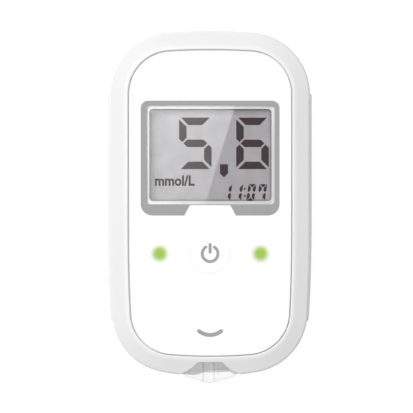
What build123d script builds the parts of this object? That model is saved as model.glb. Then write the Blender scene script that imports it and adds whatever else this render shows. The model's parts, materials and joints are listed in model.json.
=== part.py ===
from build123d import *

import os
from dataclasses import dataclass
from math import radians, sqrt, tan

# Handheld blood glucose meter, in millimetres.
# It lies on its back: +X to the right of the display, +Y towards the end away from the
# strip port, +Z out of the display. The origin is the centre of the resting face.

os.makedirs("parts", exist_ok=True)

# ---------------------------------------------------------------------- driving sizes

# Case outline, seen from the front
case_length = 97.1
case_width = 56.3
top_crown = 157.0  # radius of the shallow curve across the top end
top_corner = 17.4
bottom_crown = 75.0
bottom_corner = 17.1
waist_drop = 54.75  # from the top end down to where the flanks start to draw in
flank_bow = 455.0  # radius of the drawn-in lower flanks

# Case section
case_height = 18.0
case_wall = 1.8
case_floor = 1.8
roof_thickness = 1.6
bevel_drop = 1.3  # height of the sloping band round the front panel
bevel_round = 0.8
crest_round = 1.6
rim_width = 0.5  # level rim between the groove and the sloping band
rim_round = 0.25
cavity_round = 1.0
rear_step = 0.15  # the rear shell stands this far behind the front shell's side
rear_round = 3.5
lip_thickness = 0.75
lip_height = 1.2
lip_inset = 1.0
lip_clearance = 0.1
rail_proud = 0.95  # grip rails on the rear shell's flanks
rail_slope = 3.0  # height over which a rail's upper edge draws in
rail_height = 4.8
rail_corner = 2.0
rail_foot_gap = 15.0  # from the bottom end up to the rails

# Front panel
panel_border_side = 5.3
panel_border_top = 5.58
panel_border_bottom = 5.74
panel_top_crown = 204.0
panel_bottom_crown = 139.0
panel_corner = 12.0
panel_shift = 0.12  # centre line of the front panel
panel_waist_drop = 56.85
panel_flank_bow = 447.0
panel_thickness = 0.6
groove_width = 0.36
adhesive_thickness = 0.1
adhesive_margin = 0.5
print_thickness = 0.05
art_shift = 0.1  # centre line of the printed marks, the key and the lights

# Display opening and what lies under it
window_shift = 0.2  # centre line of the window and the display
display_drop = 34.97  # from the top end down to the middle of the window
window_width = 35.9
window_height = 27.7
window_corner = 1.0
window_clearance = 0.05
view_width = 34.3
view_height = 25.9
view_corner = 1.1
frame_border_side = 1.5
frame_border_top = 1.33
frame_border_bottom = 3.15
frame_top_corner = 2.1
frame_bottom_corner = 3.3
frame_notch_top = 11.3
frame_notch_foot = 15.1
frame_notch_line = 0.24
frame_notch_corner = 0.6
collar_wall = 0.8
collar_clearance = 0.1
window_ledge = 0.25
bezel_plate = 0.6
bezel_lip = 2.14  # straight wall between the glass and the bevel
bezel_wall = 1.5

# Liquid crystal cell
glass_width = 37.5
glass_height = 31.0
glass_thickness = 0.7
glass_clearance = 0.1
glass_ledge = 2.8
polariser_thickness = 0.15
polariser_margin = 0.9
reflector_thickness = 0.2
segment_depth = 0.05
connector_strip_length = 34.0
connector_strip_width = 1.8
foam_width = 3.0
digit_width = 9.15
digit_height = 14.5
digit_pitch = 16.1
digit_stroke = 2.1
digit_gap = 0.5
digit_lift = 3.33  # middle of the large figures above the window's middle
digit_shift = 4.26  # middle of the first large figure left of the window's middle
point_shift = 3.8
point_drop = 2.55
point_width = 2.25
point_height = 2.6
point_tip = 1.1
clock_width = 2.2
clock_height = 4.7
clock_pitch = 3.05
clock_stroke = 0.82
clock_gap = 0.15
clock_slant = 8.0
clock_drop = 10.5
clock_shift = 4.75
colon_space = 0.65
colon_dot = 0.55
colon_pitch = 2.0
bar_nib = 0.42  # how far into a bar's width its pointed end stands
bar_mitre = 0.7  # share of the gap left at a bar's slanted end
large_figures = ("5", "6")
clock_figures = ("1", "1", "0", "7")

# Power key and the switch below it
controls_drop = 62.65  # from the top end down to the key and the indicator lights
key_diameter = 11.0
key_fit = 0.03  # running gap in the panel, all round
key_bore_clearance = 0.15
key_flange_width = 1.2
key_flange_height = 0.8
key_flange_gap = 0.1
key_stem_diameter = 3.2
key_travel = 0.3
symbol_radius = 2.2
symbol_stroke = 0.86
symbol_gap_angle = 33.0
symbol_stem = 3.0
switch_size = 6.0
switch_corner = 0.6
switch_height = 1.8
plunger_diameter = 3.0
plunger_height = 0.7
plunger_depth = 0.5
plunger_fit = 0.1

# Indicator lights
light_pitch = 28.25
lens_diameter = 6.4
pipe_diameter = 4.0
pipe_clearance = 0.1
pipe_gap = 0.3
led_length = 2.0
led_width = 1.25
led_height = 0.8
led_chamfer = 0.15

# Curved mark near the bottom end
smile_drop = 84.33
smile_width = 6.18
smile_sag = 1.08
smile_stroke = 1.1

# Circuit board
board_thickness = 1.0
board_drop = 6.5  # from the inside of the roof down to the board's lower face
board_rise = 0.6  # from the joint between the two shells up to the board
board_clearance = 0.6
board_port_gap = 2.9  # from the notch's end wall to the board
controller_size = 10.0
controller_height = 1.4
controller_chamfer = 0.23
controller_x = 9.0
controller_rise = 24.5  # from the board's lower end
controller_lead = 1.1
lead_width = 0.35
lead_thickness = 0.15
lead_pitch = 0.8
lead_count = 11
crystal_length = 7.0
crystal_width = 2.6
crystal_height = 1.6
crystal_x = -3.5
chip_length = 1.6
chip_width = 0.8
chip_height = 0.6
chip_columns = 4
chip_rows = 3
chip_column_pitch = 4.5
chip_row_pitch = 3.2
chip_rise = 11.3
buzzer_diameter = 9.0
buzzer_height = 3.0
buzzer_bore = 1.6
buzzer_bore_depth = 1.5
buzzer_x = -9.5
buzzer_rise = 6.5
sound_hole = 1.2
sound_hole_pitch = 2.4
sound_hole_count = 3

# Test strip port
port_shift = 0.1
notch_depth = 4.1  # from the bottom end up to the notch's end wall
notch_width = 7.0
notch_mouth = 16.7
notch_flare_drop = 3.35
notch_flare_sag = -0.43  # the flanks bulge into the notch
notch_overrun = 1.0
port_wall = 1.3
strip_rise = 1.85  # from the board up to the plane in which a test strip slides
strip_slot_height = 0.85
guide_clearance = 0.08
guide_thickness = 1.5
guide_rib_height = 0.35
guide_rib_width = 1.12
guide_rib_pitch = 3.08
guide_rib_lead = 0.3  # run of each rib's sloping flank
guide_rib_setback = 0.45  # from the tongue's tip up to the ribs
guide_neck_width = 9.0
guide_neck_floor = 0.1
tongue_reach = 2.4
tongue_width = 14.6
tongue_shoulder = 2.2  # from the tongue's tip up to its sides
tongue_nose = 3.0  # rounding of the tip
tongue_root = 0.8  # how far the tongue runs into the notch
sill_proud = 0.2  # the sill stands out this far below the bottom end
sill_drop = 1.2  # from the joint between the shells down to the underside of the guide's sill
relief_width = 5.3
relief_depth = 1.2
relief_shift = 2.8
relief_overrun = 0.3
relief_left_run = 5.0  # width of the relief's long slanting side
relief_right_run = 2.1
socket_width = 12.6
socket_length = 13.0
socket_height = 4.2
socket_slot_width = 7.4
socket_slot_depth = 11.0
socket_roof_chamfer = 0.6
contact_count = 6
contact_pitch = 1.0
contact_width = 0.5
contact_thickness = 0.2
contact_groove_width = 0.7
contact_groove_height = 0.6
contact_foot = 0.8
contact_heel = 0.4
contact_knee = 6.6  # from the socket's front to each bend of the blade
contact_touch = 5.0
contact_tip = 3.3

# Batteries and their bay
cell_diameter = 20.0
cell_height = 3.2
cell_chamfer = 0.3
cell_gap = 0.6
cell_lift = 0.2
bay_drop = 37.15  # from the top end down to the middle of the bay
bay_clearance = 0.4
bay_headroom = 1.5
bay_ceiling = 1.0
bay_wall = 1.2
spring_width = 4.0
spring_thickness = 0.25
spring_slot_clearance = 0.3
spring_root = 6.8  # from the cell's middle to the leg of its leaf spring
spring_knee = 4.0
spring_reach = 2.0  # from the cell's middle to where the leaf presses
side_contact_width = 3.0

# Battery door
door_border_x = 2.3
door_border_y = 2.2
door_thickness = 1.5
door_corner = 3.0
door_gap = 0.15
door_seat_gap = 0.1
door_frame_wall = 1.2
door_frame_height = 3.6
hinge_radius = 1.2
hinge_pin_radius = 0.7
hinge_pin_reach = 0.9
hinge_fit = 0.05
latch_width = 8.0
latch_thickness = 0.9
latch_height = 2.6
latch_inset = 0.5
latch_clearance = 0.4
finger_width = 12.0
finger_reach = 3.2
finger_depth = 0.9
grip_count = 3
grip_pitch = 1.6
grip_width = 0.6
grip_depth = 0.25
grip_length = 14.0

# Screws
screw_diameter = 2.0
screw_reach = 3.0  # engaged in the front shell's bosses
screw_head_diameter = 3.8
screw_head_height = 1.4
screw_head_chamfer = 0.28
screw_recess = 1.1
cross_length = 2.2
cross_width = 0.5
cross_depth = 0.8
screw_hole_clearance = 0.2
screw_bore_clearance = 0.3
post_diameter = 6.6
boss_diameter = 5.6
boss_top_inset = 11.45
boss_bottom_inset = 11.6
boss_top_side = 7.6
boss_bottom_side = 8.7

# Rear label
label_width = 34.0
label_height = 18.0
label_corner = 2.0
label_recess = 0.2
label_thickness = 0.15
label_clearance = 0.2
label_drop = 67.25

# Half the height of the band in which an edge counts as lying at a level
level_band = 0.01

# ------------------------------------------------------- places worked out from these

y_top = (case_length + tongue_reach) / 2
y_bottom = y_top - case_length
half_width = case_width / 2
recess_floor = case_height - panel_thickness - adhesive_thickness
panel_base = case_height - panel_thickness
roof_base = recess_floor - roof_thickness
board_height = roof_base - board_drop
board_top = board_height + board_thickness
parting_height = board_height - board_rise
strip_plane = board_top + strip_rise
guide_floor = strip_plane - guide_rib_height
guide_base = guide_floor - guide_thickness
display_y = y_top - display_drop
controls_y = y_top - controls_drop
bay_y = y_top - bay_drop
notch_y = y_bottom + notch_depth
board_end = notch_y + board_port_gap
buzzer_place = (buzzer_x, board_end + buzzer_rise)
light_places = [(art_shift + side * light_pitch / 2, controls_y) for side in (-1, 1)]
screw_places = [(side * (half_width - boss_top_side), y_top - boss_top_inset) for side in (-1, 1)]
screw_places += [
    (side * (half_width - boss_bottom_side), y_bottom + boss_bottom_inset) for side in (-1, 1)
]


@dataclass(frozen=True)
class Outline:
    """A closed outline with crowned ends, straight upper flanks and drawn-in lower flanks."""

    half_width: float
    top: float
    top_crown: float
    top_corner: float
    waist: float
    flank_bow: float
    bottom: float
    bottom_crown: float
    bottom_corner: float

    def inset(self, gap):
        """The parallel outline, gap inside this one."""
        return Outline(
            self.half_width - gap,
            self.top - gap,
            self.top_crown - gap,
            self.top_corner - gap,
            self.waist,
            self.flank_bow - gap,
            self.bottom + gap,
            self.bottom_crown - gap,
            self.bottom_corner - gap,
        )

    def flank_x(self, y):
        """Half the width at height y of the drawn-in stretch."""
        return self.half_width - self.flank_bow + sqrt(self.flank_bow**2 - (y - self.waist) ** 2)

    def foot(self):
        """Where the right flank's curve meets the bottom crown."""
        flank_centre = Vector(self.half_width - self.flank_bow, self.waist)
        crown_centre = Vector(0, self.bottom + self.bottom_crown)
        between = crown_centre - flank_centre
        gap = between.length
        along = (self.flank_bow**2 - self.bottom_crown**2 + gap**2) / (2 * gap)
        across = sqrt(self.flank_bow**2 - along**2)
        unit = between.normalized()
        return flank_centre + unit * along + Vector(unit.Y, -unit.X) * across

    def face(self):
        """The outline as a flat face at z = 0."""
        shoulder = self.top - self.top_crown + sqrt(self.top_crown**2 - self.half_width**2)
        foot = self.foot()
        middle_y = (self.waist + foot.Y) / 2
        middle_x = self.flank_x(middle_y)
        with BuildSketch() as outline:
            with BuildLine():
                Line((self.half_width, shoulder), (self.half_width, self.waist))
                ThreePointArc((self.half_width, self.waist), (middle_x, middle_y), (foot.X, foot.Y))
                ThreePointArc((foot.X, foot.Y), (0, self.bottom), (-foot.X, foot.Y))
                ThreePointArc((-foot.X, foot.Y), (-middle_x, middle_y), (-self.half_width, self.waist))
                Line((-self.half_width, self.waist), (-self.half_width, shoulder))
                ThreePointArc((-self.half_width, shoulder), (0, self.top), (self.half_width, shoulder))
            make_face()
            fillet(outline.vertices().group_by(Axis.Y)[-1], self.top_corner)
            fillet(outline.vertices().group_by(Axis.Y)[0], self.bottom_corner)
        return outline.sketch


case_outline = Outline(
    half_width,
    y_top,
    top_crown,
    top_corner,
    y_top - waist_drop,
    flank_bow,
    y_bottom,
    bottom_crown,
    bottom_corner,
)
panel_outline = Outline(
    half_width - panel_border_side,
    y_top - panel_border_top,
    panel_top_crown,
    panel_corner,
    y_top - panel_waist_drop,
    panel_flank_bow,
    y_bottom + panel_border_bottom,
    panel_bottom_crown,
    panel_corner,
)


def panel_face(gap):
    """The front panel's outline, gap smaller all round."""
    return Location((panel_shift, 0)) * panel_outline.inset(gap).face()


def notch_face(gap, depth_gap=0.0):
    """The strip port's bell-mouthed notch, gap smaller all round, open past the bottom end."""
    top_half = notch_width / 2 - gap
    mouth_half = notch_mouth / 2 - gap
    top_y = notch_y - depth_gap
    mouth_y = top_y - notch_flare_drop
    open_y = y_bottom - tongue_reach - notch_overrun
    with BuildSketch() as notch:
        with BuildLine():
            Line((port_shift - top_half, top_y), (port_shift + top_half, top_y))
            SagittaArc(
                (port_shift + top_half, top_y), (port_shift + mouth_half, mouth_y), notch_flare_sag
            )
            Line((port_shift + mouth_half, mouth_y), (port_shift + mouth_half, open_y))
            Line((port_shift + mouth_half, open_y), (port_shift - mouth_half, open_y))
            Line((port_shift - mouth_half, open_y), (port_shift - mouth_half, mouth_y))
            SagittaArc(
                (port_shift - mouth_half, mouth_y), (port_shift - top_half, top_y), notch_flare_sag
            )
        make_face()
    return notch.sketch


def ring_symbol_face():
    """An open ring with a bar standing in its gap."""
    start = 90 + symbol_gap_angle
    sweep = 360 - 2 * symbol_gap_angle
    with BuildSketch() as symbol:
        with BuildLine() as ring:
            CenterArc((0, 0), symbol_radius, start, sweep)
        trace(ring.line, symbol_stroke)
        with Locations(ring.line @ 0, ring.line @ 1):
            Circle(symbol_stroke / 2)
        with Locations((0, symbol_stem / 2)):
            SlotOverall(symbol_stem, symbol_stroke, rotation=90)
    return symbol.sketch


def bar_points(bar, width, height, stroke, gap):
    """Corners of one bar of a seven-bar figure centred on the origin."""
    side, crest = width / 2, height / 2
    tip = bar_mitre * gap
    toe = bar_nib * stroke + tip
    if bar in "ad":
        points = [
            (-side + gap, crest),
            (side - gap, crest),
            (side - gap - stroke, crest - stroke),
            (-side + gap + stroke, crest - stroke),
        ]
    elif bar == "g":
        points = [
            (-side + toe, 0),
            (-side + toe + stroke / 2, stroke / 2),
            (side - toe - stroke / 2, stroke / 2),
            (side - toe, 0),
            (side - toe - stroke / 2, -stroke / 2),
            (-side + toe + stroke / 2, -stroke / 2),
        ]
    else:
        points = [
            (-side, crest - gap),
            (-side + stroke, crest - gap - stroke),
            (-side + stroke, stroke * (1 - bar_nib) + tip),
            (-side + bar_nib * stroke, tip),
            (-side, toe),
        ]
    flip_x = -1 if bar in "bc" else 1
    flip_y = -1 if bar in "cde" else 1
    return [(x * flip_x, y * flip_y) for x, y in points]


def figure_face(bars, width, height, stroke, gap, slant=0.0):
    """The lit bars of one figure, leaning to the right by slant degrees."""
    lean = tan(radians(slant))
    with BuildSketch() as figure:
        for bar in bars:
            points = bar_points(bar, width, height, stroke, gap)
            Polygon(*[(x + y * lean, y) for x, y in points], align=None)
    return figure.sketch


def write(piece, name):
    """Label the finished piece and save it under its name."""
    piece.part.label = name
    export_step(piece.part, f"parts/{name}.step")


# ------------------------------------------------------------------------ front shell

brow = case_height - bevel_drop

with BuildPart() as front_case:
    with BuildSketch(Plane.XY.offset(parting_height)):
        add(case_outline.face())
    extrude(amount=brow - parting_height)
    # Band that slopes up to the rim round the front panel
    with BuildSketch(Plane.XY.offset(brow)):
        add(case_outline.face())
    with BuildSketch(Plane.XY.offset(case_height)):
        add(panel_face(-groove_width / 2 - rim_width))
    loft(ruled=True)
    brow_edges = front_case.edges().filter_by_position(Axis.Z, brow - level_band, brow + level_band)
    fillet(brow_edges, bevel_round)
    fillet(front_case.faces().sort_by(Axis.Z)[-1].edges(), crest_round)
    # Hollow, with a rebate for the rear shell's lip
    with BuildSketch(Plane.XY.offset(parting_height)):
        add(case_outline.inset(case_wall).face())
    extrude(amount=roof_base - parting_height, mode=Mode.SUBTRACT)
    ceiling_low, ceiling_high = roof_base - level_band, roof_base + level_band
    fillet(front_case.edges().filter_by_position(Axis.Z, ceiling_low, ceiling_high), cavity_round)
    with BuildSketch(Plane.XY.offset(parting_height)):
        add(case_outline.inset(lip_inset - lip_clearance).face())
    extrude(amount=lip_height + lip_clearance, mode=Mode.SUBTRACT)
    # Screw bosses standing on the circuit board
    with BuildSketch(Plane.XY.offset(board_top)):
        with Locations(*screw_places):
            Circle(boss_diameter / 2)
    extrude(amount=roof_base - board_top)
    with BuildSketch(Plane.XY.offset(board_top)):
        with Locations(*screw_places):
            Circle(screw_diameter / 2)
    extrude(amount=screw_reach + screw_hole_clearance, mode=Mode.SUBTRACT)
    # Wall round the strip port, the notch itself and the way in for the strip guide
    with BuildSketch(Plane.XY.offset(parting_height)):
        add(notch_face(-port_wall, -port_wall))
        add(case_outline.inset(lip_inset / 2).face(), mode=Mode.INTERSECT)
    extrude(amount=roof_base - parting_height)
    with BuildSketch(Plane.XY.offset(parting_height)):
        add(notch_face(0))
    extrude(amount=case_height, mode=Mode.SUBTRACT)
    with BuildSketch(Plane.XY.offset(parting_height)):
        with Locations((port_shift, notch_y + port_wall / 2)):
            Rectangle(guide_neck_width + 2 * guide_clearance, 2 * port_wall)
    extrude(amount=strip_plane + strip_slot_height - parting_height, mode=Mode.SUBTRACT)
    # Recess for the front panel, and the openings in its floor
    with BuildSketch(Plane.XY.offset(recess_floor)):
        add(panel_face(-groove_width / 2))
    extrude(amount=case_height - recess_floor, mode=Mode.SUBTRACT)
    fillet(front_case.faces().sort_by(Axis.Z)[-1].inner_wires()[0].edges(), rim_round)
    with BuildSketch(Plane.XY.offset(roof_base)):
        with Locations((window_shift, display_y)):
            RectangleRounded(
                window_width + 2 * (collar_wall + collar_clearance),
                window_height + 2 * (collar_wall + collar_clearance),
                window_corner + collar_wall + collar_clearance,
            )
        with Locations((art_shift, controls_y)):
            Circle(key_diameter / 2 + key_bore_clearance)
        with Locations(*light_places):
            Circle(pipe_diameter / 2 + pipe_clearance)
    extrude(amount=roof_thickness, mode=Mode.SUBTRACT)
write(front_case, "front_case")

# ------------------------------------------------------------------------- rear shell

door_width = 2 * cell_diameter + cell_gap + 2 * (bay_clearance + door_border_x)
door_length = cell_diameter + 2 * (bay_clearance + door_border_y)
door_top = bay_y + door_length / 2
door_foot = bay_y - door_length / 2
hinge_y = door_top - hinge_radius
hinge_z = hinge_radius
bay_width = 2 * cell_diameter + cell_gap + 2 * bay_clearance
bay_length = cell_diameter + 2 * bay_clearance
bay_corner = cell_diameter / 2
cell_base = door_thickness + cell_lift
cell_top = cell_base + cell_height
bay_top = cell_top + bay_headroom
cell_places = [(side * (cell_diameter + cell_gap) / 2, bay_y) for side in (-1, 1)]
side_contact_x = cell_diameter + cell_gap / 2 + spring_thickness
spring_slot_y = bay_y + spring_root
latch_y = door_foot + latch_inset + latch_thickness / 2
label_y = y_top - label_drop
rail_top = y_top - top_corner
rail_bottom = y_bottom + rail_foot_gap

with BuildPart() as grip_rails:
    with BuildSketch(Plane.XY.offset(parting_height - rail_height)):
        add(case_outline.inset(-rail_proud).face())
    extrude(amount=rail_height - rail_slope)
    with BuildSketch(Plane.XY.offset(parting_height - rail_slope)):
        add(case_outline.inset(-rail_proud).face())
    with BuildSketch(Plane.XY.offset(parting_height)):
        add(case_outline.face())
    loft(ruled=True)
    with BuildSketch(Plane.XY.offset(parting_height - rail_height)):
        add(case_outline.inset(case_wall / 2).face())
    extrude(amount=rail_height, mode=Mode.SUBTRACT)
    with BuildSketch(Plane.YZ):
        with Locations(((rail_top + rail_bottom) / 2, parting_height - rail_height / 2)):
            RectangleRounded(rail_top - rail_bottom, rail_height, rail_corner)
    extrude(amount=case_width, both=True, mode=Mode.INTERSECT)

with BuildPart() as rear_case:
    with BuildSketch():
        add(case_outline.inset(rear_step).face())
    extrude(amount=parting_height)
    fillet(rear_case.faces().sort_by(Axis.Z)[0].edges(), rear_round)
    add(grip_rails.part)
    # Hollow, and the lip that enters the front shell
    with BuildSketch(Plane.XY.offset(case_floor)):
        add(case_outline.inset(case_wall).face())
    extrude(amount=parting_height - case_floor, mode=Mode.SUBTRACT)
    with BuildSketch(Plane.XY.offset(parting_height)):
        add(case_outline.inset(lip_inset).face())
        add(case_outline.inset(lip_inset + lip_thickness).face(), mode=Mode.SUBTRACT)
        with Locations((port_shift, y_bottom)):
            Rectangle(
                notch_mouth + 2 * (port_wall + lip_clearance),
                2 * (notch_depth + port_wall),
                mode=Mode.SUBTRACT,
            )
    extrude(amount=lip_height)
    # Sill that stands up into the notch and carries the strip guide
    with BuildSketch(Plane.XY.offset(parting_height - sill_drop)):
        add(notch_face(guide_clearance, guide_clearance))
        add(case_outline.inset(-sill_proud).face(), mode=Mode.INTERSECT)
    extrude(amount=guide_base - parting_height + sill_drop)
    # Screw posts under the circuit board
    with BuildSketch():
        with Locations(*screw_places):
            Circle(post_diameter / 2)
    extrude(amount=board_height)
    # Frame round the battery door, battery bay walls and ceiling
    with BuildSketch():
        with Locations((0, bay_y)):
            RectangleRounded(
                door_width + 2 * (door_gap + door_frame_wall),
                door_length + 2 * (door_gap + door_frame_wall),
                door_corner,
            )
    extrude(amount=door_frame_height)
    with BuildSketch():
        with Locations((0, bay_y)):
            RectangleRounded(bay_width + 2 * bay_wall, bay_length + 2 * bay_wall, bay_corner)
    extrude(amount=bay_top + bay_ceiling)
    with BuildSketch():
        with Locations((0, bay_y)):
            RectangleRounded(bay_width, bay_length, bay_corner)
    extrude(amount=bay_top, mode=Mode.SUBTRACT)
    # Recess for the door, its hinge trough, hinge holes and latch slot
    with BuildSketch():
        with Locations((0, bay_y)):
            Rectangle(door_width + 2 * door_gap, door_length + 2 * door_gap)
    extrude(amount=door_thickness + door_seat_gap, mode=Mode.SUBTRACT)
    with BuildSketch(Plane.YZ.offset(-door_width / 2 - door_gap)):
        with Locations((hinge_y, hinge_z)):
            Circle(hinge_radius + door_gap)
    extrude(amount=door_width + 2 * door_gap, mode=Mode.SUBTRACT)
    pin_span = door_width + 2 * (hinge_pin_reach + hinge_fit)
    with BuildSketch(Plane.YZ.offset(-pin_span / 2)):
        with Locations((hinge_y, hinge_z)):
            Circle(hinge_pin_radius + hinge_fit)
    extrude(amount=pin_span, mode=Mode.SUBTRACT)
    with BuildSketch():
        with Locations((0, latch_y)):
            Rectangle(latch_width + 2 * latch_clearance, latch_thickness + 2 * latch_clearance)
    extrude(amount=door_thickness + latch_height + latch_clearance, mode=Mode.SUBTRACT)
    # Slots for the battery contacts
    with BuildSketch():
        with Locations(*[(x, spring_slot_y) for x, _ in cell_places]):
            Rectangle(spring_width + spring_slot_clearance, spring_thickness + spring_slot_clearance)
        with Locations(*[(side * side_contact_x, bay_y) for side in (-1, 1)]):
            Rectangle(
                spring_thickness + spring_slot_clearance, side_contact_width + spring_slot_clearance
            )
    extrude(amount=bay_top + bay_ceiling, mode=Mode.SUBTRACT)
    # Finger scoop below the door
    with BuildSketch():
        with Locations((0, door_foot)):
            SlotOverall(finger_width, 2 * finger_reach)
        with Locations((0, door_foot + finger_reach)):
            Rectangle(finger_width, 2 * finger_reach, mode=Mode.SUBTRACT)
    extrude(amount=finger_depth, mode=Mode.SUBTRACT)
    # Screw holes with sunk heads
    with BuildSketch():
        with Locations(*screw_places):
            Circle(screw_diameter / 2 + screw_hole_clearance)
    extrude(amount=board_height, mode=Mode.SUBTRACT)
    with BuildSketch():
        with Locations(*screw_places):
            Circle(screw_head_diameter / 2 + screw_bore_clearance)
    extrude(amount=screw_recess + screw_head_height, mode=Mode.SUBTRACT)
    # Relief in the wall below the strip port, label recess and buzzer holes
    with BuildSketch(Plane.XY.offset(rear_round)):
        with Locations((relief_shift, y_bottom)):
            Polygon(
                (-relief_width / 2, relief_depth),
                (-relief_width / 2 - relief_left_run, -relief_overrun),
                (relief_width / 2 + relief_right_run, -relief_overrun),
                (relief_width / 2, relief_depth),
                align=None,
            )
    extrude(amount=guide_base - rear_round, mode=Mode.SUBTRACT)
    with BuildSketch():
        with Locations((0, label_y)):
            RectangleRounded(label_width, label_height, label_corner)
    extrude(amount=label_recess, mode=Mode.SUBTRACT)
    with BuildSketch():
        with Locations(buzzer_place):
            with PolarLocations(sound_hole_pitch, sound_hole_count):
                Circle(sound_hole / 2)
    extrude(amount=case_floor, mode=Mode.SUBTRACT)
write(rear_case, "rear_case")

# ------------------------------------------------------------------- front panel group

print_base = case_height - print_thickness
frame_top = display_y + window_height / 2 + frame_border_top
frame_bottom = display_y - window_height / 2 - frame_border_bottom
frame_width = window_width + 2 * frame_border_side
notch_line_y = display_y - window_height / 2 - frame_notch_line
smile_y = y_top - smile_drop


def display_frame_face():
    """The printed surround of the display, with a notch in its lower edge."""
    with BuildSketch() as surround:
        with Locations((art_shift, (frame_top + frame_bottom) / 2)):
            Rectangle(frame_width, frame_top - frame_bottom)
        fillet(surround.vertices().group_by(Axis.Y)[-1], frame_top_corner)
        fillet(surround.vertices().group_by(Axis.Y)[0], frame_bottom_corner)
        with BuildSketch(mode=Mode.PRIVATE) as cut:
            Polygon(
                (art_shift - frame_notch_top / 2, notch_line_y),
                (art_shift + frame_notch_top / 2, notch_line_y),
                (art_shift + frame_notch_foot / 2, frame_bottom - frame_notch_corner),
                (art_shift - frame_notch_foot / 2, frame_bottom - frame_notch_corner),
                align=None,
            )
            fillet(cut.vertices().group_by(Axis.Y)[-1], frame_notch_corner)
        add(cut.sketch, mode=Mode.SUBTRACT)
        with Locations((window_shift, display_y)):
            RectangleRounded(window_width, window_height, window_corner, mode=Mode.SUBTRACT)
    return surround.sketch


def smile_face():
    """A short upturned arc with round ends."""
    left, right = art_shift - smile_width / 2, art_shift + smile_width / 2
    with BuildSketch() as mark:
        with BuildLine() as arc:
            ThreePointArc((left, smile_y), (art_shift, smile_y - smile_sag), (right, smile_y))
        trace(arc.line, smile_stroke)
        with Locations(arc.line @ 0, arc.line @ 1):
            Circle(smile_stroke / 2)
    return mark.sketch


with BuildPart() as front_overlay:
    with BuildSketch(Plane.XY.offset(panel_base)):
        add(panel_face(groove_width / 2))
        with Locations((window_shift, display_y)):
            RectangleRounded(window_width, window_height, window_corner, mode=Mode.SUBTRACT)
        with Locations((art_shift, controls_y)):
            Circle(key_diameter / 2 + key_fit, mode=Mode.SUBTRACT)
        with Locations(*light_places):
            Circle(lens_diameter / 2, mode=Mode.SUBTRACT)
    extrude(amount=panel_thickness)
    with BuildSketch(Plane.XY.offset(print_base)):
        add(display_frame_face())
        add(smile_face())
    extrude(amount=print_thickness, mode=Mode.SUBTRACT)
write(front_overlay, "front_overlay")

with BuildPart() as overlay_adhesive:
    with BuildSketch(Plane.XY.offset(recess_floor)):
        add(panel_face(groove_width / 2 + adhesive_margin))
        with Locations((window_shift, display_y)):
            RectangleRounded(window_width, window_height, window_corner, mode=Mode.SUBTRACT)
        with Locations((art_shift, controls_y)):
            Circle(key_diameter / 2 + 2 * key_bore_clearance, mode=Mode.SUBTRACT)
        with Locations(*light_places):
            Circle(lens_diameter / 2, mode=Mode.SUBTRACT)
    extrude(amount=adhesive_thickness)
write(overlay_adhesive, "overlay_adhesive")

with BuildPart() as display_frame:
    with BuildSketch(Plane.XY.offset(print_base)):
        add(display_frame_face())
    extrude(amount=print_thickness)
write(display_frame, "display_frame")

with BuildPart() as smile_mark:
    with BuildSketch(Plane.XY.offset(print_base)):
        add(smile_face())
    extrude(amount=print_thickness)
write(smile_mark, "smile_mark")

with BuildPart() as display_window:
    with BuildSketch(Plane.XY.offset(recess_floor)):
        with Locations((window_shift, display_y)):
            RectangleRounded(
                window_width - 2 * window_clearance,
                window_height - 2 * window_clearance,
                window_corner - window_clearance,
            )
    extrude(amount=case_height - recess_floor)
write(display_window, "display_window")

# ----------------------------------------------------------------------- power key

key_flange_top = roof_base - key_flange_gap
switch_top = board_top + switch_height
plunger_top = switch_top + plunger_height

with BuildPart() as power_button:
    with BuildSketch(Plane.XY.offset(key_flange_top)):
        with Locations((art_shift, controls_y)):
            Circle(key_diameter / 2)
    extrude(amount=case_height - key_flange_top)
    with BuildSketch(Plane.XY.offset(key_flange_top)):
        with Locations((art_shift, controls_y)):
            Circle(key_diameter / 2 + key_flange_width)
    extrude(amount=-key_flange_height)
    with BuildSketch(Plane.XY.offset(plunger_top)):
        with Locations((art_shift, controls_y)):
            Circle(key_stem_diameter / 2)
    extrude(amount=key_flange_top - plunger_top)
    with BuildSketch(Plane.XY.offset(print_base)):
        with Locations((art_shift, controls_y)):
            add(ring_symbol_face())
    extrude(amount=print_thickness, mode=Mode.SUBTRACT)
write(power_button, "power_button")

with BuildPart() as power_symbol:
    with BuildSketch(Plane.XY.offset(print_base)):
        with Locations((art_shift, controls_y)):
            add(ring_symbol_face())
    extrude(amount=print_thickness)
write(power_symbol, "power_symbol")

with BuildPart() as tact_switch:
    with BuildSketch(Plane.XY.offset(board_top)):
        with Locations((art_shift, controls_y)):
            Rectangle(switch_size, switch_size)
    extrude(amount=switch_height)
    chamfer(tact_switch.edges().filter_by(Axis.Z), switch_corner)
    with BuildSketch(Plane.XY.offset(switch_top)):
        with Locations((art_shift, controls_y)):
            Circle(plunger_diameter / 2 + plunger_fit)
    extrude(amount=-plunger_depth - key_travel - plunger_fit, mode=Mode.SUBTRACT)
write(tact_switch, "tact_switch")

with BuildPart() as switch_plunger:
    with BuildSketch(Plane.XY.offset(switch_top - plunger_depth)):
        with Locations((art_shift, controls_y)):
            Circle(plunger_diameter / 2)
    extrude(amount=plunger_depth + plunger_height)
write(switch_plunger, "switch_plunger")

# ----------------------------------------------------------------- indicator lights

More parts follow.
